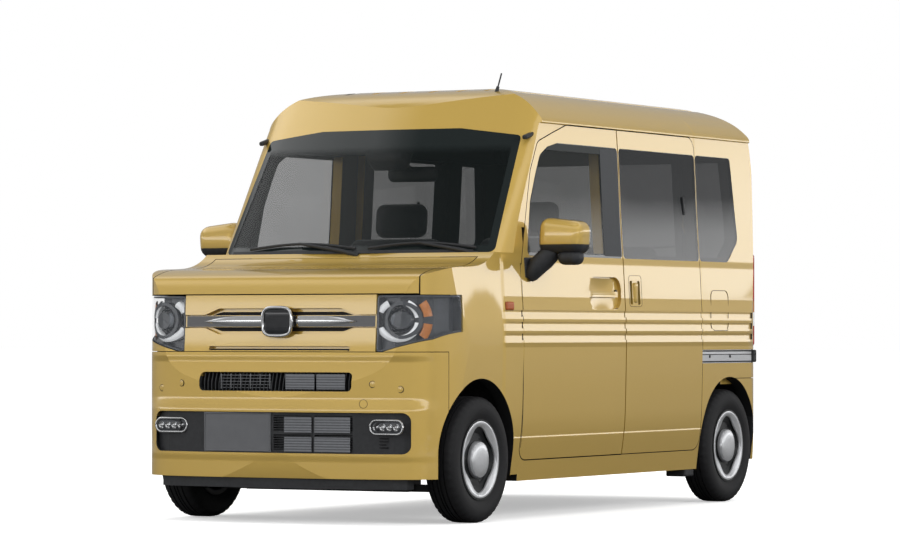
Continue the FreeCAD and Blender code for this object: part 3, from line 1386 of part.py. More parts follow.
def make_slot_grille():
    """Fine upright ribs of the upper bumper slot."""
    gap = s.seat_gap
    room = slot_prism(s.slot_half, s.slot_bottom, s.slot_top, s.slot_corner, -gap)
    count = int(s.slot_rib_count)
    pitch = 2 * s.slot_half / count
    ribs = []
    for i in range(1, count):
        x = -s.slot_half + i * pitch
        ribs.append(block(x - s.fin_wall / 2, x + s.fin_wall / 2, FRONT, 0, s.slot_bottom, s.slot_top))
    ribs = intake_front.common(Part.makeCompound(ribs)).common(room)
    return one(intake_skin.common(room).fuse(ribs.Solids))


def make_lip():
    """Black air dam under the bumper."""
    ring = plan_solid(s.lip_setback, False).cut(plan_solid(s.lip_setback + s.lip_wall, False))
    return one(ring.common(block(-s.lip_half, s.lip_half, FRONT, front_axle - s.front_arch_radius, s.lip_bottom,
                                 s.bumper_clearance)))


def make_plate():
    return brick("number_plate", "plate_width", "plate_wall", "plate_height",
                 ("-plate_centre - plate_width / 2", "-half_length + plate_setback", "plate_bottom"))


def place_of(front, side):
    return (SIGN[side] + "wheel_x", "front_axle" if front else "rear_axle", "tyre_radius")


def make_knuckle(label, side):
    """Upright with its kingpin, brake disc and wheel spindle."""
    hub = (SIGN[side] + "kingpin_x", "front_axle", "tyre_radius")
    pieces = [brick(label + "_upright", "knuckle_width", "knuckle_length", "knuckle_height",
                    (SIGN[side] + "kingpin_x - knuckle_width / 2", "front_axle - knuckle_length / 2",
                     "tyre_radius - knuckle_height / 2")),
              bar(label + "_spindle", "spindle_radius", "spindle_end - kingpin_x", hub, ALONG_X[side]),
              bar(label + "_disc", "brake_radius", "brake_wall + knuckle_width / 2", hub, ALONG_X[side]),
              bar(label + "_kingpin", "kingpin_radius", "knuckle_height + 2 * kingpin_length",
                  (SIGN[side] + "kingpin_x", "front_axle", "tyre_radius - knuckle_height / 2 - kingpin_length"))]
    return fused(label, pieces)


def make_front_suspension():
    """Cross member, lower arms and struts that hold the knuckles."""
    pieces = [brick("cross_member", "2 * cross_half", "2 * rail_side", "frame_height - rail_side / 2 - arm_bottom",
                    ("-cross_half", "front_axle - rail_side", "arm_bottom"))]
    bores = []
    for side, name in ((1, "left"), (-1, "right")):
        x, y = SIGN[side] + "kingpin_x", "front_axle"
        start = "cross_half" if side > 0 else "-kingpin_x"
        pieces += [bar("eye_" + name, "eye_radius", "arm_top - arm_bottom", (x, y, "arm_bottom")),
                   brick("arm_" + name, "kingpin_x - cross_half", "2 * eye_radius", "arm_top - arm_bottom",
                         (start, "front_axle - eye_radius", "arm_bottom")),
                   bar("strut_" + name, "strut_radius", "strut_top - strut_foot", (x, y, "strut_foot")),
                   brick("strut_plate_" + name, "4 * strut_radius", "firewall_y - front_axle + 2 * strut_radius",
                         "tab_wall", (x + " - 2 * strut_radius", "front_axle - 2 * strut_radius",
                                      "strut_top - tab_wall"))]
        bores += [bar("eye_bore_" + name, "kingpin_radius + pin_clearance", "arm_top + eye_radius", (x, y, "0")),
                  bar("strut_bore_" + name, "kingpin_radius + pin_clearance", "kingpin_length + moving_gap",
                      (x, y, "strut_foot - moving_gap"))]
    return cut_off("front_suspension", fused("suspension_metal", pieces), fused("suspension_bores", bores))


def make_rear_axle():
    """Beam with its stubs, drums, trailing links, springs and the cross wall that they hang from."""
    z = "tyre_radius"
    pieces = [bar("axle_beam", "beam_radius", "2 * axle_end", ("-axle_end", "rear_axle", z), ALONG_X[1]),
              bar("axle_stubs", "spindle_radius", "2 * spindle_end", ("-spindle_end", "rear_axle", z), ALONG_X[1])]
    for side, name in ((1, "left"), (-1, "right")):
        x = SIGN[side] + "spring_x"
        pieces += [bar("spring_" + name, "spring_radius", "cargo_under - tyre_radius", (x, "rear_axle", z)),
                   bar("drum_" + name, "brake_radius", "brake_wall", (SIGN[side] + "drum_x", "rear_axle", z),
                       ALONG_X[side]),
                   brick("link_" + name, "2 * strut_radius", "rear_axle - link_front", "2 * strut_radius",
                         (x + " - strut_radius", "link_front", "tyre_radius - strut_radius"))]
    pieces.append(brick("link_wall", "2 * spring_x", "2 * strut_radius",
                        "cargo_under - tyre_radius + strut_radius",
                        ("-spring_x", "link_front", "tyre_radius - strut_radius")))
    return fused("rear_axle", pieces)


def make_engine():
    return brick("engine", "engine_width", "engine_length", "seat_box_height - floor_wall - engine_bottom",
                 ("-engine_width / 2", "engine_front", "engine_bottom"))


def make_tank():
    tank = doc.addObject("PartDesign::Body", "fuel_tank")
    tank.Label = "fuel_tank"
    box = tank.newObject("PartDesign::AdditiveBox", "tank_box")
    bind(box, {"Length": "tank_width", "Width": "tank_length", "Height": "tank_height"})
    round_edges = tank.newObject("PartDesign::Fillet", "tank_rounds")
    round_edges.Base = (box, ["Edge%d" % i for i in range(1, 13)])
    bind(round_edges, {"Radius": "tank_round"})
    tank.Tip = round_edges
    return bind(tank, {}, ("-tank_width / 2", "tank_front", "rear_floor_height - floor_wall - tank_height"))


def make_exhaust():
    pieces = [bar("muffler", "muffler_radius", "muffler_length", ("-muffler_length / 2", "muffler_y", "muffler_z"),
                  ALONG_X[1]),
              brick("hanger", "2 * strut_radius", "2 * tab_wall", "cargo_under - muffler_z",
                    ("-strut_radius", "muffler_y - tab_wall", "muffler_z")),
              bar("tail_pipe_end", "exhaust_radius", "tail_pipe",
                  ("-muffler_length / 2 + 2 * exhaust_radius", "muffler_y", "muffler_z"), ALONG_Y)]
    return fused("exhaust", pieces)


def make_wipers():
    """Two arms parked along the foot of the windscreen."""
    blades = []
    for x0, x1 in ((s.wiper_left_share, s.wiper_mid_share), (s.wiper_mid_share, s.wiper_right_share)):
        room = block(x0 * s.body_width, x1 * s.body_width - s.moving_gap, FRONT, 0, s.wiper_bottom,
                     s.wiper_bottom + s.wiper_height)
        blades.append(one(wiper_skin.common(room)))
    return Part.makeCompound(blades)


def make_antenna():
    """Raked rod on a small cone, trimmed to the roof's surface."""
    place = ("mast_x", "mast_y", "body_height - mast_sink")
    lean = FreeCAD.Rotation(V(0, 0, 1), V(0, s.mast_lean_share, 1))
    pieces = [bar("mast", "mast_radius", "mast_length", place, lean),
              primitive("Cone", "mast_foot", {"Radius1": "4 * mast_radius", "Radius2": "2 * mast_radius",
                                              "Height": "mast_sink"}, place, lean)]
    return cut_off("antenna", fused("mast_parts", pieces), show("outer_form", outer))


body_shell = make_body()
body_posts = Part.makeCompound([body_shell])
wiper_base = s.screen_base_height - s.roof_wall
wiper_skin = screen_cutter(0, wiper_base).cut(screen_cutter(-s.wiper_wall, wiper_base))
intake_deep = whole(s.intake_back, False).common(nose_room)
intake_front = whole(s.intake_setback, False).common(nose_room).cut(intake_deep)
intake_skin = intake_deep.cut(hollow)


def build():
    """Every sub-part's name with its shape or its document object."""
    pieces = [("body_shell", body_shell), ("roof", make_roof()), ("floor_pan", make_floor()),
              ("wheelhouses", make_wheelhouses()), ("front_structure", make_front_structure()),
              ("front_bumper", make_front_bumper()), ("grille", make_grille()),
              ("intake", Part.makeCompound([make_intake(), make_slot_grille(), make_lip()])),
              ("number_plate", make_plate()),
              ("headlamp_housings", make_lamp_housing()), ("headlamp_covers", make_lamp_cover()),
              ("windscreen", make_windscreen()), ("side_glass", make_side_glass()),
              ("rear_bumper", make_rear_bumper()), ("tail_lamps", make_tail_lamps()),
              ("door_rails", make_rails()), ("dashboard", make_dashboard()),
              ("steering_wheel", make_steering_wheel()), ("tailgate", make_tailgate()),
              ("tailgate_glass", make_rear_glass()), ("hood", make_hood()), ("engine", make_engine()),
              ("fuel_tank", make_tank()), ("exhaust", make_exhaust()), ("rear_axle", make_rear_axle()),
              ("front_suspension", make_front_suspension()), ("antenna", make_antenna()),
              ("wipers", make_wipers()), ("front_fenders", both(make_fender())),
              ("slide_doors", both(make_slide_door()))]
    seats = [make_seat(side * s.seat_x, s.seat_front, s.seat_box_height, s.seat_depth, s.seat_width)
             for side in (1, -1)]
    pieces.append(("front_seats", Part.makeCompound(seats)))
    pieces.append(("rear_seat", make_seat(0, s.bench_front, s.rear_floor_height, s.seat_depth,
                                          s.bench_width, s.bench_rise, False)))
    pairs = [("front_door", make_front_door()), ("door_glass", make_door_glass()), ("mirror", make_mirror())]
    for name, shape in pairs:
        pieces += [(name + "_left", shape), (name + "_right", mirrored(shape))]
    for side, word in ((1, "_left"), (-1, "_right")):
        pieces.append(("knuckle" + word, make_knuckle("knuckle" + word, side)))
        for front, end in ((True, "_front"), (False, "_rear")):
            place = place_of(front, side)
            tyre, wheel = "tyre" + end + word, "wheel" + end + word
            pieces.append((tyre, turned_body(tyre, "tyre_line", len(tyre_rows), side, place)))
            pieces.append((wheel, turned_body(wheel, "wheel_line", len(WHEEL_ROWS), side, place)))
    return pieces


os.makedirs("parts", exist_ok=True)
pieces = []
for name, made in build():
    pieces.append((name, show(name, made) if isinstance(made, Part.Shape) else made))
doc.recompute()
faults = [piece.Name for piece in doc.Objects if "Invalid" in piece.State or "Error" in piece.State]
for name, piece in pieces:
    if piece.Shape.isNull() or not piece.Shape.isValid() or not piece.Shape.Solids:
        faults.append(name)
print("faults", faults)
if not faults:
    for name, piece in pieces:
        piece.Shape.exportStep("parts/%s.step" % name)
        print(name, [round(solid.Volume / s.mm3_per_litre, 2) for solid in piece.Shape.Solids])
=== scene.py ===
"""Looks of a small high-roof van with a short nose, laid out as an add-on.

Every length is in metres. X runs to the van's left, Y to its rear and Z up.
"""
import math

import bmesh
import bpy
from mathutils import Matrix, Vector
from mathutils.bvhtree import BVHTree


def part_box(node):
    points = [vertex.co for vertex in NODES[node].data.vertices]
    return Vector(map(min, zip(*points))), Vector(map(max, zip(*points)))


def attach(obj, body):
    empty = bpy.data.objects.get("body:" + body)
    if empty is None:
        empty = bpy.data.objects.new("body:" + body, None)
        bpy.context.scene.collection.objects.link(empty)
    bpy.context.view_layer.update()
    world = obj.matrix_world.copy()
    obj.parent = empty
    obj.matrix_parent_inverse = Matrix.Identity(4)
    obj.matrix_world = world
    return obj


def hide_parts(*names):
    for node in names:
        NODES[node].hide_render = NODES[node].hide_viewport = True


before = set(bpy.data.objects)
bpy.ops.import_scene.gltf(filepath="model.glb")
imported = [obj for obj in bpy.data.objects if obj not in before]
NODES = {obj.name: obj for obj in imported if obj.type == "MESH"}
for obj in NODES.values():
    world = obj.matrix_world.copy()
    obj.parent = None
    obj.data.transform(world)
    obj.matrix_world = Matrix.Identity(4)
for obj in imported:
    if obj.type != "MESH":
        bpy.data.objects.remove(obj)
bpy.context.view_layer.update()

bl_info = {
    "name": "Kei Van Looks",
    "version": (1, 0, 0),
    "blender": (4, 5, 0),
    "location": "3D Viewport > Sidebar > Kei Van",
    "description": "Materials, lamps, trim, seats, tyres and studio of a small van",
    "category": "Object",
}

SIDES = {"left": 1, "right": -1}
WHEELS = {}
for node in NODES:
    if node.startswith("tyre_"):
        low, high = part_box(node)
        WHEELS[node[5:]] = (low + high) / 2
HALF_WIDTH = 0.7375
HALF_LENGTH = 1.6975
HALF_HEIGHT = 0.75
BELT = 1.142
MATERIALS = {}
GRAIN_STOPS = (0.35, 0.65)
GRAIN_DEPTH = 0.0005

# Pressed lines of the body: spans where each fades in or out, and its height as a share of RELIEF_DEPTH
RELIEF_DEPTH = 0.010
RIBS = ((0.865, 0.895, 0.13), (0.814, 0.844, 0.16), (0.763, 0.793, 0.24))
RIB_RETURN = 0.020
RIB_END = (1.635, 1.62)
FLANK_START, FLANK_OUT = (-1.02, -0.98), (0.62, 0.66)
LEDGE_FOOT, LEDGE_SHARE = (1.150, 1.106), 0.55
CREASE_END, CREASE_FOOT, CREASE_SHARE = (1.03, 1.00), (0.350, 0.360), -0.16
DISH_ALONG, DISH_UP, DISH_SHARE = (-0.024, 0.135), (0.980, 0.070), -0.75
NOSE_START, NOSE_OUT = (-1.45, -1.52), (0.72, 0.60)
SHELF_TOP, SHELF_FOOT, SHELF_SHARE = (0.712, 0.680), (0.486, 0.536), -0.55
RIM_FOOT, RIM_TOP, RIM_SHARE = (0.262, 0.292), (0.505, 0.478), 0.25
TURN_SPAN, TURN_SHARE = (0.888, 0.962), 0.26
PANE_SPAN, PANE_SHARE = (1.12, 1.64), -4.6

# Printed borders of the glass: spans over which the print begins
SCREEN_LEAN = (0.0698, -0.0804)
SCREEN_SIDE, SCREEN_TOP, SCREEN_FOOT = (0.640, 0.645), (1.585, 1.635), (1.186, 1.176)
DOOR_REAR, DOOR_TOP, DOOR_FOOT = (0.0020, 0.0030), (1.606, 1.610), (1.156, 1.152)


# Materials
def wired(tree, kind, links=None, **values):
    """A shader node with its sockets set and linked by name."""
    node = tree.nodes.new("ShaderNode" + kind)
    for key, value in values.items():
        setattr(node, key, value)
    for key, value in (links or {}).items():
        if isinstance(value, bpy.types.NodeSocket):
            tree.links.new(value, node.inputs[key])
        else:
            node.inputs[key].default_value = value
    return node


def material(name, colour, rough, metal=0.0, tint=0.06, scale=40.0, bump=0.0, bump_scale=300.0, coat=0.0,
             detail=3.0, rough_vary=0.04, coat_rough=0.03, sheen=0.0, coat_index=1.5, specular=0.5,
             relief=None):
    """A procedural surface: noise varies its colour and roughness, and a grain or relief raises it."""
    if name in MATERIALS:
        return MATERIALS[name]
    m = bpy.data.materials.new(name)
    m.use_nodes = True
    tree = m.node_tree
    shader = tree.nodes["Principled BSDF"]
    place = wired(tree, "TexCoord").outputs["Object"]
    grain = wired(tree, "TexNoise", {"Scale": scale, "Detail": detail, "Vector": place}).outputs["Fac"]
    ramp = wired(tree, "ValToRGB", {"Fac": grain})
    for stop, position, change in zip(ramp.color_ramp.elements, GRAIN_STOPS, (1 - tint, 1 + tint)):
        stop.position = position
        stop.color = (*[min(c * change, 1) for c in colour], 1)
    tree.links.new(ramp.outputs["Color"], shader.inputs["Base Color"])
    spread = ramped(tree, grain, 0.0, 1.0, max(rough - rough_vary, 0.02), min(rough + rough_vary, 1.0))
    tree.links.new(spread, shader.inputs["Roughness"])
    for socket, value in (("Metallic", metal), ("Coat Weight", coat), ("Coat Roughness", coat_rough),
                          ("Coat IOR", coat_index), ("Sheen Weight", sheen),
                          ("Specular IOR Level", specular)):
        shader.inputs[socket].default_value = value
    normal = None
    if relief:
        height = relief(tree, place)
        raised = wired(tree, "Bump", {"Height": height, "Strength": 1.0, "Distance": RELIEF_DEPTH})
        normal = raised.outputs["Normal"]
        tree.links.new(normal, shader.inputs["Coat Normal"])
    if bump:
        fine = wired(tree, "TexNoise", {"Scale": bump_scale, "Detail": 2.0, "Vector": place}).outputs["Fac"]
        raised = wired(tree, "Bump", {"Height": fine, "Strength": bump, "Distance": GRAIN_DEPTH})
        if normal:
            tree.links.new(normal, raised.inputs["Normal"])
        normal = raised.outputs["Normal"]
    if normal:
        tree.links.new(normal, shader.inputs["Normal"])
    MATERIALS[name] = m
    return m


def maths(tree, operation, *values, clamp=False):
    """One sum, product or the like of plain numbers or sockets."""
    return wired(tree, "Math", dict(enumerate(values)), operation=operation, use_clamp=clamp).outputs[0]


def ramped(tree, value, start, end, low=0.0, high=1.0):
    """low before start, high after end, straight between."""
    levels = {"Value": value, "From Min": start, "From Max": end, "To Min": low, "To Max": high}
    return wired(tree, "MapRange", levels).outputs["Result"]


def step(tree, value, start, end):
    """0 before start, 1 after end, smooth between."""
    if start < end:
        levels = {"From Min": start, "From Max": end, "To Min": 0.0, "To Max": 1.0}
    else:
        levels = {"From Min": end, "From Max": start, "To Min": 1.0, "To Max": 0.0}
    eased = wired(tree, "MapRange", {"Value": value, **levels}, interpolation_type="SMOOTHSTEP")
    return eased.outputs["Result"]


def product(tree, *factors):
    out = factors[0]
    for factor in factors[1:]:
        out = maths(tree, "MULTIPLY", out, factor)
    return out


def total(tree, *terms):
    out = terms[0]
    for term in terms[1:]:
        out = maths(tree, "ADD", out, term)
    return out


def rib(tree, z, low, high, height):
    """A face leaning up between two heights, and its return below."""
    face = ramped(tree, z, low, high, height, 0.0)
    back = ramped(tree, z, low - RIB_RETURN, low, -height, 0.0)
    return total(tree, face, back)


def hump(tree, value, middle, half):
    """1 in the middle, 0 at half away from it and beyond."""
    share = maths(tree, "DIVIDE", maths(tree, "SUBTRACT", value, middle), half)
    return maths(tree, "SUBTRACT", 1.0, product(tree, share, share), clamp=True)


def body_relief(tree, place):
    """Pressed lines of the body: ledge, ribs, crease and handle dish of the sides, steps of the bumper."""
    split = wired(tree, "SeparateXYZ", {"Vector": place}).outputs
    x, y, z = split["X"], split["Y"], split["Z"]
    wide = maths(tree, "ABSOLUTE", x)
    flank = product(tree, step(tree, y, *FLANK_START), step(tree, wide, *FLANK_OUT))
    ledge = product(tree, flank, step(tree, z, *LEDGE_FOOT), LEDGE_SHARE)
    crease = product(tree, flank, step(tree, y, *CREASE_END), step(tree, z, *CREASE_FOOT), CREASE_SHARE)
    raised = total(tree, *[rib(tree, z, *sizes) for sizes in RIBS])
    ribs = product(tree, flank, step(tree, y, *RIB_END), raised)
    dish = product(tree, flank, hump(tree, y, *DISH_ALONG), hump(tree, z, *DISH_UP), DISH_SHARE)
    nose = product(tree, step(tree, y, *NOSE_START), step(tree, wide, *NOSE_OUT))
    shelf = product(tree, nose, step(tree, z, *SHELF_TOP), step(tree, z, *SHELF_FOOT), SHELF_SHARE)
    rim = product(tree, nose, step(tree, z, *RIM_FOOT), step(tree, z, *RIM_TOP), RIM_SHARE)
    turn = product(tree, flank, ramped(tree, z, *TURN_SPAN), TURN_SHARE)
    return total(tree, ledge, crease, shelf, rim, turn, ribs, dish)


def glass_relief(tree, place):
    """The panes' upward curve, which the flat facets of the CAD form leave out."""
    z = wired(tree, "SeparateXYZ", {"Vector": place}).outputs["Z"]
    share = ramped(tree, z, *PANE_SPAN)
    return product(tree, share, share, PANE_SHARE)


def paint():
    """Gold paint with fine flakes under a clear coat."""
    return material("gold_paint", bpy.context.scene.kv_paint.colour, 0.36, metal=0.45, tint=0.03,
                    scale=900.0, coat=1.0, detail=2.0, rough_vary=0.03, coat_index=1.85, specular=0.15,
                    relief=body_relief)


def black_trim():
    return material("black_trim", (0.020, 0.021, 0.023), 0.5, tint=0.15, scale=60.0, bump=0.3,
                    bump_scale=900.0)


def film():
    return material("black_film", (0.045, 0.048, 0.052), 0.55, tint=0.08, scale=40.0)


# Near-black: seals, seams and shut lines, and also painted shade in panel gaps, wheel arches, the grille's
# recesses and the sliding door handle's recess.
def seams_and_shade():
    return material("dark_seams_and_painted_shade", (0.008, 0.008, 0.009), 0.75, tint=0.2, scale=90.0)


def cabin_trim():
    return material("cabin_trim", (0.022, 0.023, 0.025), 0.7, tint=0.15, scale=70.0, bump=0.4,
                    bump_scale=700.0)


def gloss_black():
    return material("gloss_black", (0.012, 0.013, 0.015), 0.14, tint=0.2, scale=25.0, coat=0.5)


def lamp_grey():
    return material("lamp_grey", (0.075, 0.08, 0.088), 0.3, metal=0.5, tint=0.1, scale=25.0, coat=0.3)


def underseal():
    return material("underseal", (0.012, 0.012, 0.013), 0.8, tint=0.3, scale=30.0, bump=0.5,
                    bump_scale=200.0)


def dark_steel():
    return material("dark_steel", (0.012, 0.013, 0.014), 0.35, metal=0.3, tint=0.2, scale=30.0, coat=0.3)


def silver_paint():
    return material("silver_paint", (0.74, 0.75, 0.77), 0.30, metal=0.75, tint=0.04, scale=200.0, coat=0.4)


def bright_metal():
    return material("bright_metal", (0.80, 0.81, 0.82), 0.10, metal=1.0, tint=0.03, scale=50.0)


def raw_metal():
    return material("raw_metal", (0.26, 0.25, 0.24), 0.5, metal=0.9, tint=0.15, scale=40.0, bump=0.3)


def rubber():
    return material("tyre_rubber", (0.012, 0.012, 0.013), 0.60, tint=0.15, scale=120.0, bump=0.15,
                    bump_scale=700.0, specular=0.35)


def cloth():
    return material("seat_cloth", (0.030, 0.031, 0.034), 0.9, tint=0.25, scale=500.0, bump=0.7,
                    bump_scale=900.0, sheen=0.25)


def belt_webbing():
    return material("belt_webbing", (0.03, 0.03, 0.033), 0.8, tint=0.2, scale=300.0)


def marker_lens():
    return material("marker_lens", (0.36, 0.085, 0.020), 0.35, tint=0.1, coat=0.1)


def plate_grey():
    return material("plate_grey", (0.10, 0.103, 0.11), 0.35, tint=0.04, scale=20.0, coat=0.4)


def radiator():
    """Grey fins behind the openings, drawn as fine level lines."""
    m = material("radiator_fins", (0.13, 0.135, 0.145), 0.5, tint=0.05, scale=60.0)
    tree = m.node_tree
    place = wired(tree, "TexCoord").outputs["Object"]
    lines = wired(tree, "TexWave", {"Vector": place, "Scale": 28.0}, bands_direction="Z")
    raised = wired(tree, "Bump", {"Height": lines.outputs["Fac"], "Strength": 1.0, "Distance": 0.002})
    tree.links.new(raised.outputs["Normal"], tree.nodes["Principled BSDF"].inputs["Normal"])
    return m


def red_lens():
    return material("red_lens", (0.36, 0.006, 0.010), 0.12, tint=0.2, scale=30.0, coat=0.8)


def amber_lens():
    return material("amber_lens", (0.44, 0.15, 0.025), 0.3, tint=0.1, scale=60.0, coat=0.3)


def lamp_white():
    return material("lamp_white", (0.86, 0.88, 0.90), 0.25, tint=0.03, scale=60.0, coat=0.4)


def glass(name, colour, clear, cover=None, relief=None):
    """Thin glass: at each face a share of the light goes straight through, none of it where cover is 1."""
    if name in MATERIALS:
        return MATERIALS[name]
    m = material(name, colour, 0.03, tint=0.05, scale=6.0, rough_vary=0.01, specular=0.7, relief=relief)
    tree = m.node_tree
    alpha = tree.nodes["Principled BSDF"].inputs["Alpha"]
    alpha.default_value = 1.0 - clear
    m.surface_render_method = "BLENDED"
    if cover:
        place = wired(tree, "TexCoord").outputs["Object"]
        tree.links.new(ramped(tree, cover(tree, place), 0.0, 1.0, 1.0 - clear, 1.0), alpha)
    return m


def screen_border(tree, place):
    """1 in the printed border of the windscreen."""
    split = wired(tree, "SeparateXYZ", {"Vector": place}).outputs
    lean = maths(tree, "MULTIPLY_ADD", split["Z"], *SCREEN_LEAN)
    edge = total(tree, maths(tree, "ABSOLUTE", split["X"]), lean)
    return total(tree, step(tree, edge, *SCREEN_SIDE), step(tree, split["Z"], *SCREEN_TOP),
                 step(tree, split["Z"], *SCREEN_FOOT))


def door_border(tree, place):
    """1 in the black rear part and the printed border of a front door's glass."""
    split = wired(tree, "SeparateXYZ", {"Vector": place}).outputs
    return total(tree, step(tree, split["Y"], *DOOR_REAR), step(tree, split["Z"], *DOOR_TOP),
                 step(tree, split["Z"], *DOOR_FOOT))


def screen_glass():
    return glass("screen_glass", (0.010, 0.014, 0.014), 0.71, cover=screen_border)


def door_glass():
    return glass("door_glass", (0.014, 0.018, 0.017), 0.645, cover=door_border, relief=glass_relief)


def dark_glass():
    return glass("dark_glass", (0.010, 0.012, 0.014), 0.40, relief=glass_relief)


def lamp_cover():
    return glass("lamp_cover", (0.30, 0.32, 0.35), 0.94)


def lens_glass():
    return glass("lens_glass", (0.25, 0.27, 0.30), 0.45)


# Mesh helpers
SOFT_EDGE, NODE_EDGE = math.radians(40), math.radians(30)


def dress(names, *mats):
    for name in names:
        data = NODES[name].data
        data.materials.clear()
        for mat in mats:
            data.materials.append(mat)


def soften(obj, angle):
    """Smooth shading that stops at edges sharper than the angle."""
    polygons = obj.data.polygons
    polygons.foreach_set("use_smooth", [True] * len(polygons))
    split = obj.modifiers.new("soft_edges", "EDGE_SPLIT")
    split.split_angle = angle


def piece(name, bm, mat, body="body", replaces=(), more=()):
    """A mesh object that moves with a body. more holds further materials."""
    data = bpy.data.meshes.new(name)
    bmesh.ops.recalc_face_normals(bm, faces=bm.faces)
    bm.to_mesh(data)
    bm.free()
    obj = bpy.data.objects.new(name, data)
    bpy.context.collection.objects.link(obj)
    for each in (mat, *more):
        data.materials.append(each)
    soften(obj, SOFT_EDGE)
    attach(obj, body)
    if replaces:
        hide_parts(*replaces)
    return obj


def turned(bm, rows, centre, axis, count, start=0.0, sweep=2 * math.pi):
    """Rings of points around an axis. rows are (offset along the axis, radius) pairs."""
    axis = Vector(axis).normalized()
    side = axis.orthogonal().normalized()
    other = axis.cross(side)
    closed = sweep > 2 * math.pi - 1e-6
    steps = count if closed else count + 1
    rings = []
    for i in range(steps):
        angle = start + sweep * i / count
        way = side * math.cos(angle) + other * math.sin(angle)
        rings.append([bm.verts.new(Vector(centre) + axis * a + way * r) for a, r in rows])
    for i in range(count):
        join_rows(bm, rings[i], rings[(i + 1) % steps])
    return rings


def join_rows(bm, one, two, closed=False):
    count = len(one) if closed else len(one) - 1
    for j in range(count):
        k = (j + 1) % len(one)
        bm.faces.new((one[j], two[j], two[k], one[k]))


def join_lines(bm, lines):
    """Faces between each line of points and the next."""
    for one, two in zip(lines, lines[1:]):
        join_rows(bm, one, two)


def circle(count):
    """Cosine and sine of evenly spaced angles around a circle."""
    turns = [2 * math.pi * i / count for i in range(count)]
    return [(math.cos(turn), math.sin(turn)) for turn in turns]


def tube(bm, points, radius, sides=12, closed=False, flat=1.0):
    """A bar along points. flat squeezes it along the world's X."""
    rings = []
    n = len(points)
    up = None
    for i, p in enumerate(points):
        p = Vector(p)
        before = Vector(points[i - 1]) if (i or closed) else p
        after = Vector(points[(i + 1) % n]) if (i < n - 1 or closed) else p
        way = (after - before).normalized()
        if up is None:
            up = way.orthogonal().normalized()
        up = (up - way * up.dot(way)).normalized()
        other = way.cross(up)
        r = radius[i] if isinstance(radius, (list, tuple)) else radius
        ring = []
        for k in range(sides):
            turn = 2 * math.pi * k / sides
            shift = up * math.cos(turn) * r + other * math.sin(turn) * r
            shift.x *= flat
            ring.append(bm.verts.new(p + shift))
        rings.append(ring)
    for i in range(n if closed else n - 1):
        join_rows(bm, rings[i], rings[(i + 1) % n], closed=True)
    if not closed:
        bm.faces.new(rings[0])
        bm.faces.new(list(reversed(rings[-1])))
    return rings


def soft_box(half, radius, cuts=11):
    """A box about the origin with round edges, its lines gathered at the corners."""
    bm = bmesh.new()
    bmesh.ops.create_cube(bm, size=2.0)
    bmesh.ops.subdivide_edges(bm, edges=bm.edges[:], cuts=cuts, use_grid_fill=True)
    radii = [min(radius, 0.98 * h) for h in half]
    for vert in bm.verts:
        core, push = [], []
        for u, h, r in zip(vert.co, half, radii):
            flat_share = 1 - r / h
            t = abs(u)
            share = t * 2 * flat_share if t < 0.5 else flat_share + (t - 0.5) * 2 * (1 - flat_share)
            core.append(math.copysign(min(share, flat_share) * h, u))
            push.append(math.copysign(max(share - flat_share, 0) * h / r, u))
        push = Vector(push)
        if push.length > 1e-9:
            push.normalize()
        vert.co = [c + p * r for c, p, r in zip(core, push, radii)]
    return bm


def placed(bm, centre, turn=(0, 0, 0)):
    """Turns a mesh about X, then Y, then Z, and moves it."""
    matrix = Matrix.Translation(centre)
    for angle, axis in zip(reversed(turn), "ZYX"):
        matrix = matrix @ Matrix.Rotation(math.radians(angle), 4, axis)
    bm.transform(matrix)
    return bm


def joined(*parts):
    """One mesh from several, each a mesh or a pair of mesh and material number. None keeps its numbers."""
    whole = bmesh.new()
    for part in parts:
        bm, number = part if isinstance(part, tuple) else (part, 0)
        if number is not None:
            for face in bm.faces:
                face.material_index = number
        data = bpy.data.meshes.new("part")
        bm.to_mesh(data)
        bm.free()
        whole.from_mesh(data)
        bpy.data.meshes.remove(data)
    return whole


def block(name, half, radius, centre, mat, body="body", turn=(0, 0, 0)):
    """A piece in the form of one soft box."""
    return piece(name, placed(soft_box(half, radius), centre, turn), mat, body)


def skin(*names):
    """Search tree over the faces of several nodes."""
    points, faces = [], []
    for name in names:
        mesh = NODES[name].data
        first = len(points)
        points.extend(v.co.copy() for v in mesh.vertices)
        faces.extend([first + i for i in face.vertices] for face in mesh.polygons)
    return BVHTree.FromPolygons(points, faces)


def from_front(tree, x, z, out=0.0):
    """The point of a skin seen from the front at x and z, moved out by some metres."""
    hit = tree.ray_cast(Vector((x, -3, z)), Vector((0, 1, 0)))
    return hit[0] + Vector((0, -out, 0)) if hit[0] else None


def from_side(tree, side, y, z, out=0.0):
    hit = tree.ray_cast(Vector((side * 3, y, z)), Vector((-side, 0, 0)))
    return hit[0] + Vector((side * out, 0, 0)) if hit[0] else None


def from_rear(tree, x, z, out=0.0):
    hit = tree.ray_cast(Vector((x, 3, z)), Vector((0, -1, 0)))
    return hit[0] + Vector((0, out, 0)) if hit[0] else None


def rounded_loop(a0, a1, b0, b1, radius, steps=6):
    """Points of a rounded rectangle in a plane."""
    points = []
    for ca, cb, start in ((a1 - radius, b1 - radius, 0), (a0 + radius, b1 - radius, 90),
                          (a0 + radius, b0 + radius, 180), (a1 - radius, b0 + radius, 270)):
        for i in range(steps + 1):
            turn = math.radians(start + 90 * i / steps)
            points.append((ca + radius * math.cos(turn), cb + radius * math.sin(turn)))
    return points


# Materials of the carried-over nodes
ARCH_NEAR, ARCH_FAR, ARCH_TURN = 0.27, 0.46, 0.6
REAR_CORNER = Vector((0.7, 1.6, 0.7))
INWARD = -0.3
NARROW_GAP, LIFT = 0.008, 0.0002
PANELS = ("body_shell", "roof", "hood", "tailgate", "front_fenders", "slide_doors", "front_door_left",
          "front_door_right", "front_bumper", "rear_bumper")


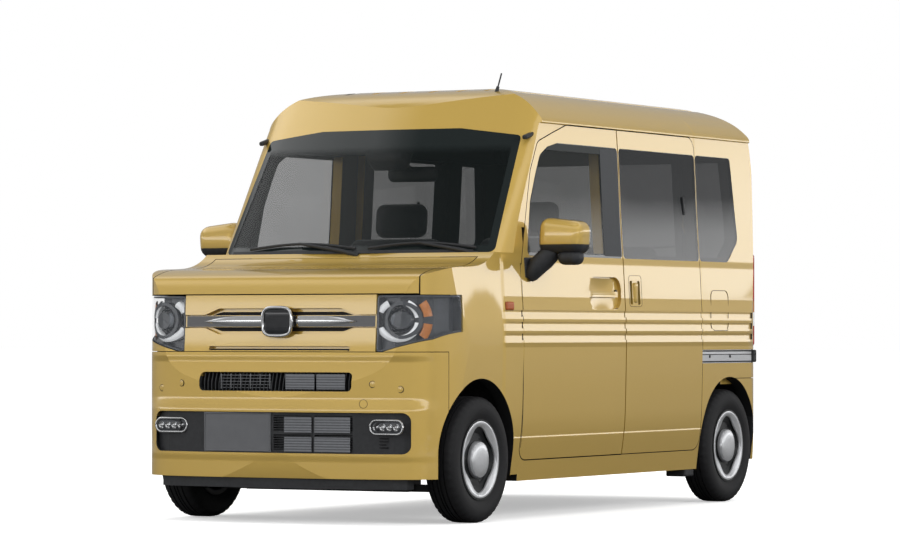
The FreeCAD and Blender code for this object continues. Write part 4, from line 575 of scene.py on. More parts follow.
def in_arch(centre, normal):
    """True for faces that look down into a wheel arch."""
    for hub in WHEELS.values():
        way = Vector((0, hub.y - centre.y, hub.z - centre.z))
        near = centre.x * hub.x > 0 and ARCH_NEAR < way.length < ARCH_FAR
        if near and normal.dot(way.normalized()) > ARCH_TURN:
            return True
    return False


def sort_panel(name, tree):
    """Gives a panel's faces their material: 0 outer skin, 1 the cabin's side, 2 near-black on edges in a
    narrow gap and on flanges in a wheel arch, partly the rubber seal and partly painted shade.
    """
    mesh = NODES[name].data
    kinds = []
    for face in mesh.polygons:
        centre, normal = face.center, face.normal
        out = Vector((centre.x / HALF_WIDTH, centre.y / HALF_LENGTH, (centre.z - BELT) / HALF_HEIGHT))
        if abs(centre.x) > REAR_CORNER.x and centre.y > REAR_CORNER.y and centre.z > REAR_CORNER.z:
            kinds.append(0)
        elif normal.dot(out.normalized()) < INWARD and name != "hood":
            kinds.append(1)
        # Kind 2 is near-black: painted shade on faces in a narrow gap or looking into a wheel arch, with the
        # seal there.
        elif in_arch(centre, normal) or tree.ray_cast(centre + normal * LIFT, normal, NARROW_GAP)[0]:
            kinds.append(2)
        else:
            kinds.append(0)
    mesh.polygons.foreach_set("material_index", kinds)


def build_surfaces():
    # The third material is near-black: the seal, and painted shade on gap edges and arch flanges.
    dress(PANELS, paint(), cabin_trim(), seams_and_shade())
    neighbours = PANELS + ("windscreen", "headlamp_covers", "grille")
    tree = skin(*[name for name in NODES if name in neighbours or "glass" in name])
    for name in PANELS:
        sort_panel(name, tree)
    wheels = [name for name in NODES if name.startswith("wheel_")]
    for names, finish in (
            (("grille",), paint),
            (("floor_pan", "wheelhouses", "front_structure", "engine"), underseal),
            (("rear_axle", "front_suspension", "fuel_tank", *wheels), dark_steel),
            (("knuckle_left", "knuckle_right", "exhaust"), raw_metal),
            (("door_rails",), silver_paint),
            (("windscreen",), screen_glass),
            (("door_glass_left", "door_glass_right"), door_glass),
            (("side_glass", "tailgate_glass"), dark_glass),
            (("headlamp_covers",), lamp_cover),
            (("headlamp_housings",), lamp_grey),
            (("tail_lamps",), red_lens),
            (("dashboard",), cabin_trim),
            (("steering_wheel", "intake", "wipers", "antenna", "mirror_left", "mirror_right"), black_trim),
            (("number_plate",), plate_grey),
            (("front_seats", "rear_seat"), cloth)):
        dress(names, finish())
    for node in NODES.values():
        soften(node, NODE_EDGE)


# Tyres
# Half of a tyre's outline, as distance from its middle plane and radius
TYRE_ROWS = [(0.055, 0.1585), (0.060, 0.168), (0.0640, 0.178), (0.0695, 0.192), (0.0720, 0.205),
             (0.0722, 0.212), (0.0725, 0.214), (0.0716, 0.226), (0.0700, 0.240), (0.0655, 0.252),
             (0.0600, 0.2600), (0.0540, 0.2645), (0.0470, 0.2668)]
TREAD = [(0.0330, 0.2678), (0.0325, 0.2615), (0.0265, 0.2615), (0.0260, 0.2679), (0.0105, 0.2680),
         (0.0100, 0.2615), (0.0040, 0.2615), (0.0035, 0.2680)]
GROOVE_STEP, SHOULDER_X, SHOULDER_RADIUS = 3, 0.034, 0.2595


def build_tyres(settings):
    for name, hub in WHEELS.items():
        bm = bmesh.new()
        half = TYRE_ROWS + TREAD
        rows = half + [(-a, r) for a, r in reversed(half)]
        rings = turned(bm, rows, hub, (1, 0, 0), settings.segments)
        for ring in rings[::GROOVE_STEP]:
            for vert in ring:
                flat = Vector((0, vert.co.y - hub.y, vert.co.z - hub.z))
                if abs(vert.co.x - hub.x) > SHOULDER_X and flat.length > SHOULDER_RADIUS:
                    vert.co -= flat.normalized() * settings.groove
        piece("tyre_tread_" + name, bm, rubber(), "wheel_" + name, replaces=("tyre_" + name,))


# Wheel trims
HUB_CAP = ((0.045, 0.0780), (0.058, 0.0780), (0.0655, 0.0745), (0.0688, 0.066), (0.0708, 0.048),
           (0.0716, 0.022), (0.0717, 0.0002))
BOSS = ((0.0, 0.0105), (0.004, 0.0105), (0.006, 0.008), (0.0062, 0.0001))
BOSS_COUNT, BOSS_CIRCLE, BOSS_DEPTH = 8, 0.098, 0.034


def build_wheels(settings):
    outer = settings.ring_outer
    for name, hub in WHEELS.items():
        side = 1 if hub.x > 0 else -1
        bm = bmesh.new()
        rings = []
        for i in range(settings.steps):
            angle = 2 * math.pi * i / settings.steps
            cut = settings.ring_inner + settings.lobe * math.cos(4 * angle)
            rows = ((0.0600, outer), (0.0668, outer - 0.003), (0.0680, outer - 0.011),
                    (0.0650, outer - 0.020), (0.0625, cut + 0.006), (0.0600, cut + 0.001), (0.0540, cut))
            way = Vector((0, math.sin(angle), math.cos(angle)))
            rings.append([bm.verts.new(hub + way * r + Vector((side * a, 0, 0))) for a, r in rows])
        join_lines(bm, rings + rings[:1])
        piece("trim_ring_" + name, bm, silver_paint(), "wheel_" + name)
        bm = bmesh.new()
        turned(bm, [(side * a, r) for a, r in HUB_CAP], hub, (1, 0, 0), 64)
        piece("hub_cap_" + name, bm, silver_paint(), "wheel_" + name)
        bm = bmesh.new()
        for i in range(BOSS_COUNT):
            angle = 2 * math.pi * (i + 0.5) / BOSS_COUNT
            way = Vector((0, math.sin(angle), math.cos(angle)))
            spot = hub + way * BOSS_CIRCLE + Vector((side * BOSS_DEPTH, 0, 0))
            turned(bm, [(side * a, r) for a, r in BOSS], spot, (1, 0, 0), 16)
        piece("wheel_bosses_" + name, bm, dark_steel(), "wheel_" + name)


# Front of the van
def front_sheet(bm, tree, xs, top, bottom, out, bulge=0.0, rows=8):
    """A strip laid on the front skin between two heights, which may change along it."""
    lines = []
    for x in xs:
        line = []
        for i in range(rows + 1):
            share = i / rows
            z = bottom(x) + (top(x) - bottom(x)) * share
            spot = from_front(tree, x, z, out + bulge * (1 - (2 * share - 1) ** 2))
            line.append(bm.verts.new(spot))
        lines.append(line)
    join_lines(bm, lines)


def spaced(start, end, count):
    return [start + (end - start) * i / (count - 1) for i in range(count)]


def bar_half(x, full, taper_from, taper_to, least):
    """Half height of the bar at x: full in the middle, narrowing to its ends."""
    share = min(max((abs(x) - taper_from) / (taper_to - taper_from), 0), 1)
    return full + (least - full) * share ** 1.6


BAR_REACH, BAR_BRIGHT_REACH, BAR_TAPER = 0.462, 0.372, 0.20
BADGE = Vector((0, -1.6625, 0.853))
BADGE_HALF = (0.070, 0.060)
BADGE_BEND = 0.55
SHADOW_REACH, SHADOW_TAPER = 0.345, 0.300
SHADOW_LINES = ((0.8795, 0.894), (0.812, 0.8285))
SEAM_HEIGHTS = (0.7300, 0.7385)
ON_SKIN = 0.0008


def build_badge_ring():
    """A bright ring in the shape of a rounded square."""
    loop = []
    for point in circle(48):
        across, up = (math.copysign(abs(c) ** BADGE_BEND, c) for c in point)
        loop.append(BADGE + Vector((across * BADGE_HALF[0], 0, up * BADGE_HALF[1])))
    bm = bmesh.new()
    tube(bm, loop, 0.0075, 10, closed=True)
    piece("badge_ring", bm, bright_metal())


def build_grille(settings):
    tree = skin("grille")
    middle, inner = settings.bar_height, settings.bar_half - 0.001
    bm = bmesh.new()
    front_sheet(bm, tree, spaced(-BAR_REACH, BAR_REACH, 60), lambda x: middle + inner,
                lambda x: middle - inner, ON_SKIN)
    piece("grille_bar_dark", bm, gloss_black())
    bm = bmesh.new()
    size = lambda x: bar_half(x, inner, BAR_TAPER, BAR_BRIGHT_REACH, 0.0015)
    front_sheet(bm, tree, spaced(-BAR_BRIGHT_REACH, BAR_BRIGHT_REACH, 90), lambda x: middle + size(x),
                lambda x: middle - size(x) * 0.9, 2 * ON_SKIN, bulge=0.004)
    piece("grille_bar_bright", bm, bright_metal())
    build_badge_ring()
    bm = bmesh.new()
    xs = spaced(-SHADOW_REACH, SHADOW_REACH, 60)
    slope = lambda x: min(max((abs(x) - SHADOW_TAPER) / (SHADOW_REACH - SHADOW_TAPER), 0), 1)
    for low, high in SHADOW_LINES:
        narrow = lambda x: (high - low - 0.001) * slope(x)
        if low > middle:
            front_sheet(bm, tree, xs, lambda x: high - narrow(x), lambda x: low, ON_SKIN, rows=4)
        else:
            front_sheet(bm, tree, xs, lambda x: high, lambda x: low + narrow(x), ON_SKIN, rows=4)
    front_sheet(bm, tree, xs, lambda x: SEAM_HEIGHTS[1], lambda x: SEAM_HEIGHTS[0], ON_SKIN, rows=3)
    piece("grille_shadow_lines", bm, seams_and_shade())
    block("badge_plate", (0.066, 0.010, 0.056), 0.022, BADGE + Vector((0, 0.007, 0)), gloss_black())


# Rows of the headlamp's parts, as depth under the cover and radius
GUIDE_ROWS = ((0.030, 0.063), (0.014, 0.065), (0.009, 0.074), (0.010, 0.084), (0.016, 0.092), (0.030, 0.093))
TURN_ROWS = ((0.026, 0.104), (0.016, 0.107), (0.014, 0.124), (0.020, 0.141), (0.028, 0.143))
BOWL_ROWS = ((0.032, 0.058), (0.020, 0.056), (0.022, 0.050), (0.020, 0.046), (0.026, 0.041), (0.024, 0.036),
             (0.030, 0.033))
LENS_ROWS = ((0.0, 0.0335), (0.004, 0.033), (0.010, 0.028), (0.0145, 0.018), (0.016, 0.0002))
SOURCE_ROWS = (((0.001, 0.018), (0.002, 0.012), (0.001, 0.0002)),
               ((0.0150, 0.0095), (0.0172, 0.0085), (0.0176, 0.0002)))


class LampView:
    """Places points under a lamp's cover, as seen along one level direction."""

    def __init__(self, side):
        self.tree = skin("headlamp_covers")
        self.way = Vector((-0.473 * side, 0.881, 0))
        self.across = Vector((0.881 * side, 0.473, 0))
        self.centre = Vector((side * 0.585, -1.66, 0.858))

    def spot(self, across, up, depth):
        start = self.centre + self.across * across + Vector((0, 0, up)) - self.way
        hit = self.tree.ray_cast(start, self.way)[0]
        return hit + self.way * depth if hit else None

    def arc(self, bm, rows, start, end, count, wide=1.08):
        """A band around the lamp's centre. rows are (depth, radius) pairs, angles in degrees from outward."""
        lines = []
        for i in range(count + 1):
            turn = math.radians(start + (end - start) * i / count)
            line = [self.spot(r * wide * math.cos(turn), r * math.sin(turn), d) for d, r in rows]
            if None not in line:
                lines.append([bm.verts.new(p) for p in line])
        join_lines(bm, lines)


def build_headlamps():
    for word, side in SIDES.items():
        view = LampView(side)
        bm = bmesh.new()
        for start, end in ((8, 64), (118, 172), (188, 352)):
            view.arc(bm, GUIDE_ROWS, start, end, 40)
        piece("lamp_guide_" + word, bm, lamp_white())
        bm = bmesh.new()
        for start, end in ((7, 36), (-40, -7)):
            view.arc(bm, TURN_ROWS, start, end, 14, wide=1.0)
        piece("lamp_turn_" + word, bm, amber_lens())
        bm = bmesh.new()
        view.arc(bm, BOWL_ROWS, 0, 360, 64, wide=1.0)
        piece("lamp_bowl_" + word, bm, gloss_black())
        centre = view.spot(0, 0, 0.030)
        bm = bmesh.new()
        turned(bm, LENS_ROWS, centre, -view.way, 40)
        piece("lamp_lens_" + word, bm, lens_glass())
        bm = bmesh.new()
        for rows in SOURCE_ROWS:
            turned(bm, rows, centre, -view.way, 24)
        piece("lamp_source_" + word, bm, bright_metal())


FOG_HALF = (0.078, 0.029)
FOG_BULBS = (-0.048, -0.016, 0.016, 0.048)
BULB_ROWS = ((0.0, 0.0155), (0.006, 0.0150), (0.003, 0.0120), (0.001, 0.0085), (0.006, 0.0060),
             (0.0075, 0.0002))
SENSOR_PLACES = ((0.585, 0.570), (0.468, 0.591))
SENSOR_ROWS = ((-0.002, 0.0125), (0.0012, 0.0120), (0.0014, 0.0095), (0.0006, 0.0088), (0.0010, 0.0002))
SENSOR_RING = ((0.0, 0.0150), (0.0008, 0.0145), (0.0008, 0.0128), (0.0, 0.0125))
RADIATORS = ((0.049, 0.182, 0.386, 0.452), (0.192, 0.365, 0.386, 0.452), (0.049, 0.182, 0.304, 0.368),
             (0.192, 0.365, 0.304, 0.368), (0.052, 0.193, 0.568, 0.632), (0.202, 0.340, 0.568, 0.632))
SLOT_MIDDLE = 0.600
SLITS = (0.030, 0.030, 0.020, 0.030)
TOW_COVER, TOW_RADIUS = (0.427, 0.509), 0.018
PLATE_INSET = 0.004


def build_fog_lamp(tree, word, x, z):
    wide, high = FOG_HALF
    y = min(from_front(tree, x + a, z + b).y for a, b in rounded_loop(-wide, wide, -high, high, 0.028, 8))
    rim = rounded_loop(-wide, wide, -high, high, 0.0288, 8)
    bm = bmesh.new()
    tube(bm, [Vector((x + a, y - 0.001, z + b)) for a, b in rim], 0.0048, 10, closed=True)
    piece("fog_bezel_" + word, bm, bright_metal())
    block("fog_bowl_" + word, (0.075, 0.006, 0.0262), 0.024, (x, y + 0.006, z), lamp_grey())
    bm = bmesh.new()
    for shift in FOG_BULBS:
        turned(bm, BULB_ROWS, (x + shift, y + 0.002, z), (0, -1, 0), 28)
    piece("fog_bulbs_" + word, bm, bright_metal())


def build_sensors(tree, word, side):
    spots = [from_front(tree, side * x, z) for x, z in SENSOR_PLACES]
    for name, rows, mat in (("park_sensors_", SENSOR_ROWS, paint()), ("sensor_rings_", SENSOR_RING, seams_and_shade())):
        bm = bmesh.new()
        for spot in spots:
            turned(bm, rows, spot, (side * 0.25, -1, 0), 28)
        piece(name + word, bm, mat)


def build_radiators(tree):
    """Finned panels in front of the foremost rib of each opening, and the mesh of the upper slot."""
    parts = []
    for a0, a1, b0, b1 in RADIATORS:
        face = min(from_front(tree, x, z).y for x in spaced(a0, a1, 40) for z in spaced(b0, b1, 12))
        parts.append(placed(soft_box(((a1 - a0) / 2, 0.002, (b1 - b0) / 2), 0.002),
                            ((a0 + a1) / 2, face - 0.001, (b0 + b1) / 2)))
    piece("radiator_panels", joined(*parts), radiator())
    face = min(from_front(tree, x, SLOT_MIDDLE).y for x in spaced(-0.27, -0.03, 60))
    parts = []
    for i in range(5):
        parts.append(placed(soft_box((0.125, 0.0015, 0.0016), 0.0012),
                            (-0.148, face - 0.001, 0.574 + 0.013 * i)))
    for i in range(6):
        parts.append(placed(soft_box((0.0022, 0.0018, 0.032), 0.0012),
                            (-0.268 + 0.048 * i, face - 0.002, SLOT_MIDDLE)))
    piece("slot_mesh", joined(*parts), plate_grey())


def build_bumper(settings):
    tree = skin("front_bumper", "intake")
    for word, side in SIDES.items():
        build_fog_lamp(tree, word, side * settings.fog_x, settings.fog_height)
        build_sensors(tree, word, side)
    build_radiators(tree)
    parts = [placed(soft_box((wide, 0.002, 0.0035), 0.002), from_front(tree, 0.500, 0.366 - 0.013 * i))
             for i, wide in enumerate(SLITS)]
    piece("intake_slits", joined(*parts), seams_and_shade())
    x, z = TOW_COVER
    bm = bmesh.new()
    tube(bm, [from_front(tree, x + TOW_RADIUS * c, z + TOW_RADIUS * s) for c, s in circle(32)], 0.0009, 6,
         closed=True)
    piece("tow_cover_line", bm, seams_and_shade())
    low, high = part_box("number_plate")
    rim = rounded_loop(low.x + PLATE_INSET, high.x - PLATE_INSET, low.z + PLATE_INSET,
                       high.z - PLATE_INSET, 0.010)
    bm = bmesh.new()
    tube(bm, [Vector((a, low.y - 0.0012, b)) for a, b in rim], 0.0018, 8, closed=True)
    piece("plate_rim", bm, plate_grey())


# Mirrors
MIRROR_PLACE = (0.868, -0.682, 1.221)
MIRROR_HALF = (0.1025, 0.0700, 0.0750)
MIRROR_SPLIT = -0.028
MIRROR_ARM = ((0.722, -0.748, 1.046), (0.733, -0.744, 1.060), (0.752, -0.730, 1.090), (0.785, -0.705, 1.128),
              (0.820, -0.690, 1.160))
ARM_RADII = (0.030, 0.041, 0.047, 0.049, 0.040)


def mirror_head(side):
    """The mirror's shell about the origin, lower outward, swept back above and below, black low down."""
    head = soft_box(MIRROR_HALF, 0.042)
    wide, _, high = MIRROR_HALF
    for vert in head.verts:
        co = vert.co
        co.z -= 0.012 * max(co.x * side / wide, -1) * (1 if co.z > 0 else 0)
        co.y += 0.010 * (co.z / high) ** 2
        co.x -= side * 0.008 * (0.5 - co.z / (2 * high))
    for face in head.faces:
        face.material_index = 0 if face.calc_center_median().z > MIRROR_SPLIT else 1
    return head


def build_mirrors():
    for word, side in SIDES.items():
        x, y, z = MIRROR_PLACE
        centre = Vector((side * x, y, z))
        head = placed(mirror_head(side), centre)
        bulge = placed(soft_box((0.052, 0.045, 0.032), 0.030),
                       centre + Vector((side * 0.030, -0.006, -0.090)))
        arm = bmesh.new()
        tube(arm, [(side * a, b, c) for a, b, c in MIRROR_ARM], ARM_RADII, 20, flat=0.75)
        foot = placed(soft_box((0.012, 0.052, 0.046), 0.010), (side * 0.716, -0.738, 1.086))
        pane = placed(soft_box((0.080, 0.003, 0.050), 0.024), centre + Vector((0, 0.0800, 0.004)))
        whole = joined((head, None), (bulge, 1), (arm, 1), (foot, 1), (pane, 2))
        piece("door_mirror_" + word, whole, paint(), "front_door_" + word, replaces=("mirror_" + word,),
              more=(black_trim(), bright_metal()))


# Sides of the van
def side_sheet(bm, tree, side, ys, low, high, out, rows=10):
    """A strip laid on a flank between two heights."""
    heights = spaced(low, high, rows + 1)
    join_lines(bm, [[bm.verts.new(from_side(tree, side, y, z, out)) for z in heights] for y in ys])


def side_line(bm, tree, side, points, out, radius, closed=True, sides=6):
    path = [from_side(tree, side, y, z, out) for y, z in points]
    tube(bm, [p for p in path if p], radius, sides, closed=closed)


LOCK_ROWS = ((-0.004, 0.0105), (0.0025, 0.0100), (0.0032, 0.0070), (0.0020, 0.0064), (0.0024, 0.0002))
BOLT_ROWS = ((0.0, 0.0070), (0.003, 0.0065), (0.004, 0.0040), (0.0042, 0.0002))
BOLT_PLACES = (1.10, 1.33)
GROOVES = ((0.7195, 0.0030), (0.7030, 0.0018), (0.6690, 0.0030))
FUEL_LID, FUEL_RADIUS = (1.115, 1.311, 0.816, 1.006), 0.034
SLIDE_LID, SLIDE_RADIUS = (0.235, 0.365, 0.925, 1.066), 0.018
HANDLE_HEIGHT, RAIL_HEIGHT, RAIL_MIDDLE = 0.988, 0.694, 1.25


def build_handles(panels, word, side):
    """Handle and lock of the front door, handle of the sliding door, and the marker lamp."""
    x = from_side(panels, side, 0.02, 0.92).x
    door = "front_door_" + word
    block("door_handle_" + word, (0.012, 0.128, 0.0135), 0.011, (x + side * 0.001, -0.026, 0.9785),
          paint(), door)
    bm = bmesh.new()
    turned(bm, LOCK_ROWS, (x, 0.121, 0.990), (side, 0, 0), 24)
    piece("door_lock_" + word, bm, dark_steel(), door)
    x = from_side(panels, side, 0.22, 0.98).x
    block("slide_handle_" + word, (0.010, 0.017, 0.046), 0.009, (x - side * 0.002, 0.300, HANDLE_HEIGHT),
          paint())
    # A near-black sheet in the handle's finger recess: painted shade.
    block("slide_recess_shade_" + word, (0.003, 0.048, 0.051), 0.006, (x - side * 0.0135, 0.297, HANDLE_HEIGHT),
          seams_and_shade())
    block("side_marker_" + word, (0.007, 0.0375, 0.0185), 0.009,
          from_side(panels, side, -0.9475, 0.921, 0.001), marker_lens())


def build_flank_lines(panels, word, side):
    """The fuel lid on the left, the edge of the sliding door's recess and the front door's shut line."""
    bm = bmesh.new()
    if side > 0:
        side_line(bm, panels, side, rounded_loop(*FUEL_LID, FUEL_RADIUS), 0.0010, 0.0012)
    side_line(bm, panels, side, rounded_loop(*SLIDE_LID, SLIDE_RADIUS), 0.0002, 0.0008)
    piece("lid_lines_" + word, bm, seams_and_shade())
    bm = bmesh.new()
    shut = [(-0.8185, z) for z in spaced(0.31, 1.03, 60)]
    side_line(bm, panels, side, shut, -0.0002, 0.0013, closed=False)
    piece("shut_line_" + word, bm, seams_and_shade())


def build_window_parts(panes, word, side):
    bm = bmesh.new()
    side_sheet(bm, skin("door_glass_" + word), side, spaced(0.0035, 0.176, 8), 1.150, 1.634, 0.0006)
    piece("door_film_" + word, bm, film(), "front_door_" + word)
    block("window_pull_" + word, (0.004, 0.009, 0.042), 0.0035, from_side(panes, side, 0.860, 1.400, 0.002),
          black_trim(), turn=(8, 0, 0))
    block("gutter_cap_" + word, (0.012, 0.046, 0.010), 0.008, (side * 0.668, -0.640, 1.667), black_trim(),
          turn=(14, 0, 0))


def build_rail_parts(word, side):
    """Bolts, grooves and stop of the sliding door's rail, and the small parts below it."""
    rails = skin("door_rails")
    x = from_side(rails, side, RAIL_MIDDLE, 0.690).x
    bm = bmesh.new()
    for y in BOLT_PLACES:
        turned(bm, BOLT_ROWS, (x, y, RAIL_HEIGHT), (side, 0, 0), 16)
    piece("rail_bolts_" + word, bm, dark_steel())
    parts = []
    for z, high in GROOVES:
        spot = from_side(rails, side, RAIL_MIDDLE, z, 0.0004)
        if spot:
            parts.append(placed(soft_box((0.0012, 0.305, high), 0.001), (spot.x, 1.325, z)))
    piece("rail_grooves_" + word, joined(*parts), seams_and_shade())
    block("bumper_backing_" + word, (0.022, 0.085, 0.012), 0.004, (side * 0.688, 1.540, 0.587), seams_and_shade())
    block("rail_stop_" + word, (0.012, 0.020, 0.030), 0.008, (x - side * 0.014, 1.628, RAIL_HEIGHT),
          black_trim())
    block("mud_flap_" + word, (0.050, 0.050, 0.019), 0.008, (side * 0.640, 0.960, 0.150), black_trim())


def build_sides():
    panels = skin("body_shell", "front_fenders", "slide_doors", "front_door_left", "front_door_right")
    panes = skin("side_glass", "door_glass_left", "door_glass_right")
    for word, side in SIDES.items():
        build_handles(panels, word, side)
        build_flank_lines(panels, word, side)
        build_window_parts(panes, word, side)
        build_rail_parts(word, side)


# Back of the van
LENS_FOOT, LENS_TOP, LENS_TURNS = 0.742, 1.188, (27, 84)
LENS_STEPS, LENS_HEIGHTS = 16, 42
LENS_AXIS, LENS_RISE, LENS_SINK = (0.640, 1.600), 0.0085, 0.0005
CLEAR_FOOT, AMBER_FOOT, AMBER_TOP = 0.845, 0.905, 0.965


def build_tail_lenses():
    """A raised red lens around each rear corner, with an amber and a clear band."""
    tree = skin("tail_lamps", "body_shell", "tailgate")
    for word, side in SIDES.items():
        bm = bmesh.new()
        axis = Vector((side * LENS_AXIS[0], LENS_AXIS[1], 0))
        rows = []
        for i, z in enumerate(spaced(LENS_FOOT, LENS_TOP, LENS_HEIGHTS)):
            row = []
            for k, angle in enumerate(spaced(*LENS_TURNS, LENS_STEPS + 1)):
                turn = math.radians(angle)
                way = Vector((side * math.cos(turn), math.sin(turn), 0))
                hit = tree.ray_cast(axis + way * 0.4 + Vector((0, 0, z)), -way)[0]
                rim = min(min(k, LENS_STEPS - k) / 1.5, min(i, LENS_HEIGHTS - 1 - i) / 1.5, 1.0)
                spot = hit + way * (LENS_RISE * math.sqrt(rim) - LENS_SINK)
                spot.y = min(spot.y, HALF_LENGTH)
                row.append(bm.verts.new(spot))
            rows.append(row)
        join_lines(bm, rows)
        for face in bm.faces:
            z = face.calc_center_median().z
            face.material_index = 1 if AMBER_FOOT < z < AMBER_TOP else 2 if CLEAR_FOOT < z < AMBER_FOOT else 0
        piece("tail_lens_" + word, bm, red_lens(), more=(amber_lens(), lamp_white()))


def build_rear():
    build_tail_lenses()
    tree = skin("tailgate", "rear_bumper", "tailgate_glass")
    block("gate_handle", (0.230, 0.012, 0.022), 0.010, from_rear(tree, 0, 0.90, -0.006), black_trim(),
          "tailgate")
    block("rear_plate", (0.165, 0.003, 0.0825), 0.006, from_rear(tree, 0, 0.78, -0.0005), plate_grey(),
          "tailgate")
    bm = bmesh.new()
    turned(bm, [(-0.01, 0.022), (0.004, 0.022), (0.009, 0.018), (0.011, 0.0002)],
           from_rear(tree, 0, 1.205, -0.008), (0, 1, 0), 24)
    tube(bm, [from_rear(tree, x, 1.215 + 0.05 * (x + 0.02)) for x in spaced(-0.02, 0.40, 10)], 0.005, 8)
    piece("rear_wiper", bm, black_trim(), "tailgate")
    parts = [placed(soft_box((0.060, 0.004, 0.020), 0.006), from_rear(tree, side * 0.53, 0.36, -0.002))
             for side in (-1, 1)]
    piece("rear_reflectors", joined(*parts), red_lens())


# Cabin
def cushion(name, half, radius, centre, turn, replaces, crown=0.012, groove=0.006, seams=0.62):
    """A padded cushion, its crown and its two seams along Z of the box before it is turned."""
    bm = soft_box(half, radius)
    for vert in bm.verts:
        u, v, w = (c / h for c, h in zip(vert.co, half))
        swell = (1 - u * u) * (1 - v * v)
        vert.co.z += math.copysign(crown * swell, w) * (1 if abs(w) > 0.5 else 0)
        if w > 0.5:
            vert.co.z -= math.exp(-((abs(u) - seams) / 0.05) ** 2) * groove
    obj = piece(name, placed(bm, centre, turn), cloth(), replaces=replaces)


BELT_LINE = ((0.642, 0.090, 1.46), (0.630, 0.088, 1.20), (0.628, 0.085, 0.75))
BELT_HALF = 0.023


def build_belt(word, side):
    bm = bmesh.new()
    places = [Vector((side * x, y, z)) for x, y, z in BELT_LINE]
    for ends in zip(places, places[1:]):
        rows = [[bm.verts.new(end + Vector((0, d, 0))) for d in (-BELT_HALF, BELT_HALF)] for end in ends]
        join_rows(bm, *rows)
    piece("belt_" + word, bm, belt_webbing())


def build_seats(settings):
    node = ("front_seats",)
    for word, side in SIDES.items():
        x = side * settings.seat_x
        cushion("seat_base_" + word, (0.236, 0.236, 0.052), 0.040, (x, -0.362, 0.655), (4, 0, 0), node)
        cushion("seat_back_" + word, (0.236, 0.280, 0.052), 0.045, (x, -0.062, 0.960), (79, 0, 0), node)
        cushion("headrest_" + word, (0.128, 0.078, 0.044), 0.042, (x, 0.030, 1.322), (84, 0, 0), node,
                groove=0.0)
        bm = bmesh.new()
        for shift in (-0.045, 0.045):
            tube(bm, [(x + shift, 0.020, 1.185), (x + shift, 0.030, 1.300)], 0.006, 10)
        piece("headrest_posts_" + word, bm, bright_metal())
        build_belt(word, side)
    node = ("rear_seat",)
    for word, side in SIDES.items():
        x = side * 0.270
        cushion("bench_base_" + word, (0.264, 0.236, 0.058), 0.040, (x, 0.568, 0.638), (3, 0, 0), node)
        cushion("bench_back_" + word, (0.264, 0.290, 0.052), 0.045, (x, 0.872, 0.925), (79, 0, 0), node)
    block("bench_plinth", (0.512, 0.184, 0.0415), 0.012, (0, 0.542, 0.5665), cabin_trim())


WHEEL_CENTRE, WHEEL_RADIUS = Vector((-0.340, -0.640, 0.985)), 0.180
WHEEL_LEAN = math.radians(32)
WHEEL_HUB = ((-0.032, 0.0002), (-0.032, 0.040), (-0.024, 0.062), (0.002, 0.066), (0.012, 0.050))
VENT_ROWS = ((0.0, 0.040), (0.006, 0.038), (0.004, 0.030), (0.001, 0.0002))
VENT_PLACES = (0.50, -0.56, 0.17, -0.17)


def build_steering_rim():
    axis = Vector((0, -math.cos(WHEEL_LEAN), -math.sin(WHEEL_LEAN)))
    side = Vector((1, 0, 0))
    other = axis.cross(side)
    bm = bmesh.new()
    loop = [WHEEL_CENTRE + (side * c + other * s) * WHEEL_RADIUS for c, s in circle(72)]
    tube(bm, loop, 0.0155, 12, closed=True)
    turned(bm, WHEEL_HUB, WHEEL_CENTRE, axis, 40)
    piece("steering_rim", bm, cabin_trim(), "steering_wheel")


def build_cabin():
    top = from_front(skin("windscreen"), 0, 1.585)
    block("sensor_box", (0.095, 0.055, 0.062), 0.030, top + Vector((0.0, 0.085, 0.010)), black_trim(),
          turn=(-34, 0, 0))
    block("inner_mirror", (0.118, 0.014, 0.034), 0.026, top + Vector((0.055, 0.200, -0.075)), black_trim(),
          turn=(6, 0, 8))
    bm = bmesh.new()
    tube(bm, [top + Vector((0.0, 0.10, 0.02)), top + Vector((0.055, 0.19, -0.055))], 0.010, 12)
    piece("mirror_stem", bm, black_trim())
    block("gauge_hood", (0.170, 0.080, 0.045), 0.035, (-0.340, -0.885, 1.118), cabin_trim(), turn=(-10, 0, 0))
    block("centre_screen", (0.105, 0.006, 0.065), 0.006, (0.0, -0.812, 1.010), gloss_black(), turn=(-6, 0, 0))
    bm = bmesh.new()
    for x in VENT_PLACES:
        turned(bm, VENT_ROWS, (x, -0.800, 1.0), (0, 1, 0), 24)
    piece("air_vents", bm, black_trim())
    build_steering_rim()
    for word, side in SIDES.items():
        block("door_card_" + word, (0.005, 0.36, 0.22), 0.05, (side * 0.668, -0.32, 0.86), cabin_trim(),
              "front_door_" + word)


# Wipers
BLADES = ((-0.52, 0.04), (0.10, 0.60))
BLADE_FOOT, BLADE_BOW, BLADE_STEPS = 1.168, 0.022, 16


def build_wipers():
    tree = skin("windscreen", "body_shell")
    bm = bmesh.new()
    for start, end in BLADES:
        spots = []
        for x in spaced(start, end, BLADE_STEPS):
            rise = BLADE_FOOT + BLADE_BOW * math.sin((x - start) / (end - start) * math.pi)
            spots.append(from_front(tree, x, rise) + Vector((0, -0.012, 0.004)))
        tube(bm, spots, 0.006, 8)
        arm = [spots[7] + Vector((0, -0.006, 0.002)), spots[13] + Vector((0, -0.014, -0.018)),
               spots[-1] + Vector((0.02, -0.010, -0.030))]
        tube(bm, arm, [0.006, 0.009, 0.011], 8)
    piece("wiper_arms", bm, black_trim())


